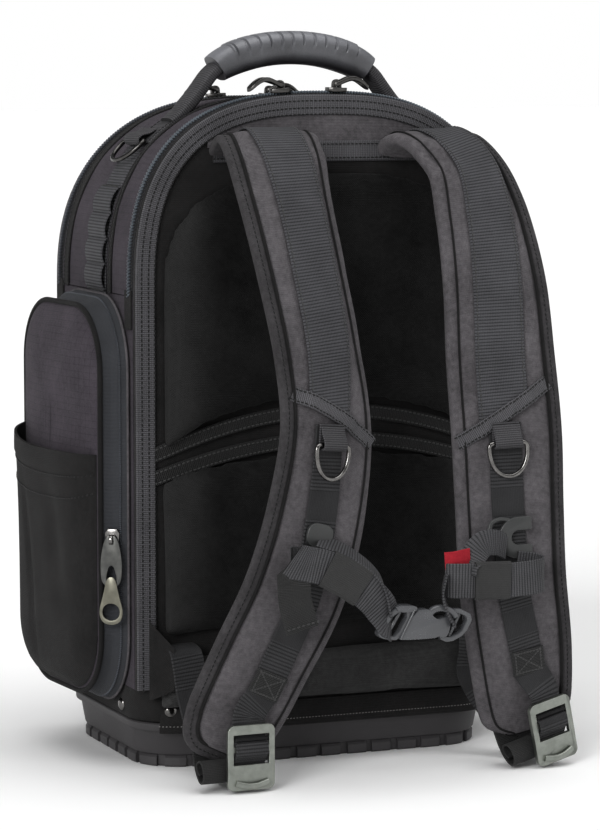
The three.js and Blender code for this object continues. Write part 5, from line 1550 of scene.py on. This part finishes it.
def adjuster(name):
    """Webbing from the back into the ladder buckle and round its bar, its cloth wedge, and its folded end."""
    side = SIDE[name]
    ladder = ladder_frame(name)
    anchor = Vector((side * ANCHOR["x"], ANCHOR["y"], ANCHOR["z"]))
    under = LADDER["thick"] / 2 + WEB / 2 + GAP
    points = [anchor] + [anchor + Vector((side * x, y, z)) for x, y, z in ANCHOR_RUN]
    points.append(anchor.lerp(ladder @ Vector((0, 30, -22)), 0.55) + Vector((0, 0, -20)))
    inside = ((0, 34, -19), (0, 16, -18), (0, under + 3, -8), (0, 0.5, -0.5), (0, -under, 2.5),
              (0, -under - 0.5, 6.2), (0, -under, 9.5), (0, 0.5, 11.5), (0, under + 0.5, 16))
    points += [ladder @ Vector(p) for p in inside]
    across = ladder.to_3x3() @ Vector((1, 0, 0))
    frames = frames_along(smooth_line(points, 200), lambda along: along.cross(across), 1.5)
    band = swept(centred_web(NARROW_WEB), frames)
    piece(f"{name}_adjuster_band", band, NARROW_WEBBING, [f"{name}_adjuster_webbing"])
    rows = []
    for i in range(9):
        share = i / 8
        x, y = side * (137.0 - 13.0 * share), PANEL_BACK - 3.6 - 15.5 * share ** 0.8
        low, high = 53.0 + 9.0 * share, 110.0 - 17.0 * share
        heights = [low + (high - low) * k / 10 for k in range(11)]
        face = [Vector((x, y - 0.7, z)) for z in heights]
        rows.append(face + [Vector((x, y + 0.7, z)) for z in reversed(heights)])
    piece(f"{name}_anchor_wedge", lofted(rows), BLACK_CLOTH)
    fold = ((26, 6), (22, -6), (17, -14), (11, -18), (6.5, -16.5), (5, -11), (8, -5), (13, -3), (18, -6),
            (16, -11), (12, -13))
    line = smooth_line([ladder @ Vector((-23.5, y, z)) for y, z in fold], 90)
    loop = frames_along(line, lambda along: along.cross(across), 1.2)
    piece(f"{name}_folded_end", swept(centred_web(22.0), loop), TAIL_WEBBING)


# Sternum strap

def sternum_band(points, across, width=NARROW_WEB, thick=WEB, slant=0.0):
    """Webbing along points; a slant cuts its first end on the bias, as a fold does."""
    line = smooth_line([Vector(p) for p in points], 100)
    frames = frames_along(line, lambda along: along.cross(Vector(across)), 1.5)
    section = centred_web(width, thick)
    loops = []
    for i, spot in enumerate(frames):
        bias = slant * max(0.0, 1 - i / 12)
        loops.append([spot @ Vector((u, v, bias * u)) for u, v in section])
    return lofted(loops, across=[u for u, v in section])


def sternum_strap():
    """Chest webbing: a front layer on each side, the layer behind it, elastic keepers and a loose tail."""
    up = (0, 0, 1)
    front = [(-74, -203.5, 166.5), (-66, -204.5, 165.6), (-44.5, -205.5, 159.9), (-22, -206.5, 146.3),
             (-11, -207, 136.5), (-3, -206.5, 126), (2.4, -203.5, 118), (3, -200, 118)]
    behind = [(-46, -187, 178), (-28, -196, 171), (-5, -201, 151), (3, -202, 124)]
    root = [(-56, -187, 164), (-66, -192, 166), (-71, -198, 167), (-72, -202, 167)]
    left = joined(sternum_band(front, up, slant=0.62), sternum_band(behind, (0.2, 0.9, 0.35), 18.0),
                  sternum_band(root, up, 20.0))
    piece("left_chest_band", left, CHEST_WEBBING, ["left_sternum_webbing"])
    tail = [(-70, -201.6, 167), (-71, -203.6, 155), (-71, -205, 140), (-65, -204.6, 118)]
    piece("left_chest_tail", sternum_band(tail, (1, 0, 0.2), 25.0, slant=-0.8), TAIL_WEBBING)
    hem = [Vector((-76, -206.2, 119)), Vector((-54, -206.2, 124))]
    stitching("tail_stitches", frames_along(hem, REARWARD, LONG_STITCH), GREY_THREAD)
    front = [(108, -188, 150), (122, -190, 148), (125, -197, 147), (121, -203, 146), (96, -205, 144.5),
             (68, -205.5, 145.5), (53, -204, 146), (47, -200, 146), (50, -197, 146)]
    drop = [(48, -198, 150), (45, -200, 136), (48, -202, 124), (53, -203, 115)]
    rise = [(100, -188, 166), (90, -192.5, 170), (78, -196.5, 170), (68, -199.5, 161), (62, -201.5, 150)]
    right = joined(sternum_band(front, up), sternum_band(drop, (0.4, 0.9, 0.1), 22.0),
                   sternum_band(rise, (0.35, 0.35, 0.87), 19.0))
    piece("right_chest_band", right, CHEST_WEBBING, ["right_sternum_webbing"])
    keepers = (("left", [(-47, -205.4, 161.2), (-34, -206, 154), (-20, -206.7, 145)]),
               ("right", [(95, -205, 144.5), (81, -205.3, 145), (67, -205.5, 145.5)]))
    for name, line in keepers:
        piece(f"{name}_elastic_keeper", sternum_band(line, up, 27.5, 4.6), ELASTIC)
    tag = [(66, -199.5, 162), (60, -201, 161.5), (53, -201.6, 160.5), (46, -200, 160)]
    piece("plain_red_tag", sternum_band(tag, up, 13.0, 0.9), RED_CLOTH)


def chest_sliders():
    """A plain plate on the left strap's webbing and a C-shaped one with an ear on the right."""
    strap = STRAPS["left"]
    spot, _, shift = strap.at(strap.share_at(CHEST_SLIDER_Z["left"]))
    spot = spot @ Matrix.Translation((shift - 1.0, STRAP_THICK / 2 + WEB + 2.4, 0.0))
    square = soft_outline([(-10.5, -8.5), (10.5, -8.5), (10.5, 8.5), (-10.5, 8.5)], 40)
    piece("left_chest_slider", plate(square, 3.2, spot, soft=0.9), SLIDER_PLASTIC,
          ["left_sternum_slider"], sharp=50)
    strap = STRAPS["right"]
    spot = strap.at(strap.share_at(CHEST_SLIDER_Z["right"]))[0]
    spot = spot @ Matrix.Translation((1.5, STRAP_THICK / 2 + WEB + 2.6, 0.0))

    def arc(radius, degrees):
        return [(radius * math.cos(math.radians(a)), radius * math.sin(math.radians(a))) for a in degrees]
    upper_arm = [(9.5, 15.0), (10.5, 13.8), (10.5, 5.4)]
    lower_arm = [(u, -w) for u, w in reversed(upper_arm)]
    outline = arc(15.2, range(-95, -266, -10)) + upper_arm + arc(5.2, range(-260, -99, 20)) + lower_arm
    ear = [spot @ Vector(p) for p in ((-6, 0, -13), (-14, 1.0, -14.5), (-21, 2.5, -12), (-23.5, 3.5, -6))]
    rod = swept(oval_section(3.2, 2.4, 10), frames_along(smooth_line(ear, 30), spot.col[1].to_3d(), 1.0))
    hooked = joined(plate(outline, 3.4, spot, soft=0.7), rod)
    piece("right_chest_slider", hooked, SLIDER_PLASTIC, ["right_sternum_slider"], sharp=50)


def sternum_buckle():
    """Fastened side-release buckle: slotted frames at both ends of a flared body with a thumb notch."""
    place = Matrix.Translation(BUCKLE_AT)

    def bar(points, width, thick, lift):
        line = [place @ Vector((u, lift, w)) for u, w in points]
        return swept(oval_section(width, thick, 12, 3.0), frames_along(smooth_line(line, 24), REARWARD, 1.0))
    frame_edge = soft_outline([(-38, -4.5), (-24.5, 14.5), (-6.5, 13.6), (-19.5, -10.8), (-34, -8.8)], 60, 1)
    slot = soft_outline([(-33.8, -4.4), (-23.4, 9.6), (-12.6, 9.2), (-22.4, -7.6), (-32.6, -6.4)], 60, 1)
    block = soft_outline([(-24.6, 14.8), (-7, 13.9), (-8.2, 9.2), (-21.4, 9.7)], 40, 1)
    body = soft_outline([(-8.5, 10.4), (3.4, 10.8), (5.2, 5.6), (9, 3), (14, 4.2), (17.6, 4.6), (19.6, 0.5),
                         (17.2, -9.4), (12.5, -10.8), (9.5, -9.4), (6.5, -10.8), (-19.8, -10.6),
                         (-21, -8.4)], 110, 1)
    web_bar = bar([(-29.2, -7.4), (-18.4, 10.0)], 3.0, 4.0, 0.5)
    seam = bar([(-19.8, -8.6), (-9.6, 10.6)], 1.4, 2.0, -5.0)
    socket = joined(plate(frame_edge, 8.0, place, slot, 1.0), plate(block, 11.0, place, soft=1.3),
                    plate(body, 10.0, place, soft=1.5), web_bar, seam)
    piece("buckle_socket", socket, BUCKLE_PLASTIC, ["sternum_buckle_socket"])
    frame_edge = soft_outline([(16.5, 5.5), (24.5, 10.8), (38, 3.6), (31, -9.6), (18.4, -15), (9.6, -11)],
                              60, 1)
    slot = soft_outline([(19.8, 4.4), (25, 6.6), (33.4, 2.6), (28, -7.6), (18.4, -11), (13.6, -8.6)], 60, 1)
    web_bar = bar([(18.6, -12.0), (28.0, 6.4)], 3.0, 4.0, 0.5)
    hook = bar([(3.6, 7.4), (6.6, 9.6), (11, 10.6), (16.5, 9.4), (21.5, 6.6), (23.5, 3.6)], 5.0, 6.0, -2.0)
    prong = joined(plate(frame_edge, 7.0, place, slot, 1.0), web_bar, hook)
    piece("buckle_prong", prong, BUCKLE_PLASTIC, ["sternum_buckle_prong"])


# Stage

def camera():
    """Camera at the photograph's angle; the picture's taller side takes the sensor's width."""
    a, e = math.radians(VIEW["azimuth"]), math.radians(VIEW["elevation"])
    back = Vector((math.sin(a) * math.cos(e), -math.cos(a) * math.cos(e), math.sin(e)))
    data = bpy.data.cameras.new("photo_view")
    data.sensor_width = SENSOR
    data.lens = FOCAL_PX * SENSOR / PHOTO_HEIGHT_PX
    data.clip_end = 100.0
    obj = bpy.data.objects.new("photo_view", data)
    obj.location = (Vector(VIEW["target"]) + back * VIEW["distance"]) * MM
    obj.rotation_euler = back.to_track_quat("Z", "Y").to_euler()
    bpy.context.scene.collection.objects.link(obj)
    bpy.context.scene.camera = obj


def studio():
    """Pale floor, white surroundings and soft lamps."""
    finish = Finish("pale_floor", {"Base Color": (0.92, 0.92, 0.92, 1.0), "Roughness": 0.9})
    bm = bmesh.new()
    bmesh.ops.create_grid(bm, x_segments=1, y_segments=1, size=30.0)
    mesh = bpy.data.meshes.new("floor")
    bm.to_mesh(mesh)
    bm.free()
    floor = bpy.data.objects.new("floor", mesh)
    mesh.materials.append(finish.material)
    bpy.context.scene.collection.objects.link(floor)
    world = bpy.data.worlds.new("studio")
    world.use_nodes = True
    tree = world.node_tree
    surround = Shading(tree, next(n for n in tree.nodes if n.type == "BACKGROUND"))
    surround.shader.inputs["Color"].default_value = (1.0, 1.0, 1.0, 1.0)
    rise = surround.parts(surround.node("ShaderNodeTexCoord"))[2].size()
    ceiling = rise.over(HORIZON["level"], HORIZON["soft"])
    surround.feed("Strength", 1.0 - ceiling * (1.0 - OVERHEAD))
    bpy.context.scene.world = world
    for name, way, angle, power in LAMPS:
        data = bpy.data.lights.new(name, "SUN")
        data.energy = power
        data.angle = math.radians(angle)
        lamp = bpy.data.objects.new(name, data)
        lamp.rotation_euler = Vector(way).to_track_quat("Z", "Y").to_euler()
        bpy.context.scene.collection.objects.link(lamp)
    bpy.context.scene.view_settings.view_transform = "Standard"
    bpy.context.scene.view_settings.gamma = CONTRAST


camera()
studio()
base()
bottom_band()
rim_binding()
rivets()
side_wall()
front_shell()
back()
back_pads()
main_zip("rear_zip", REAR_ARCH, REAR_ZIP, BLACK_TAPE, TEETH)
main_zip("front_zip", FRONT_ARCH, FRONT_ZIP, BLACK_TAPE, BLACK_TEETH)
zip_ends()
sliders_and_pulls()
handle()
for side_name, side_way in SIDE.items():
    side_webbing(side_name, side_way)
    side_pocket(side_name, side_way)
    strap_pad(side_name)
    wide_webbing(side_name)
    diagonal_tape(side_name)
    narrow_webbing(side_name)
    strap_ring(side_name)
    ladder_buckle(side_name)
    adjuster(side_name)
sternum_strap()
chest_sliders()
sternum_buckle()
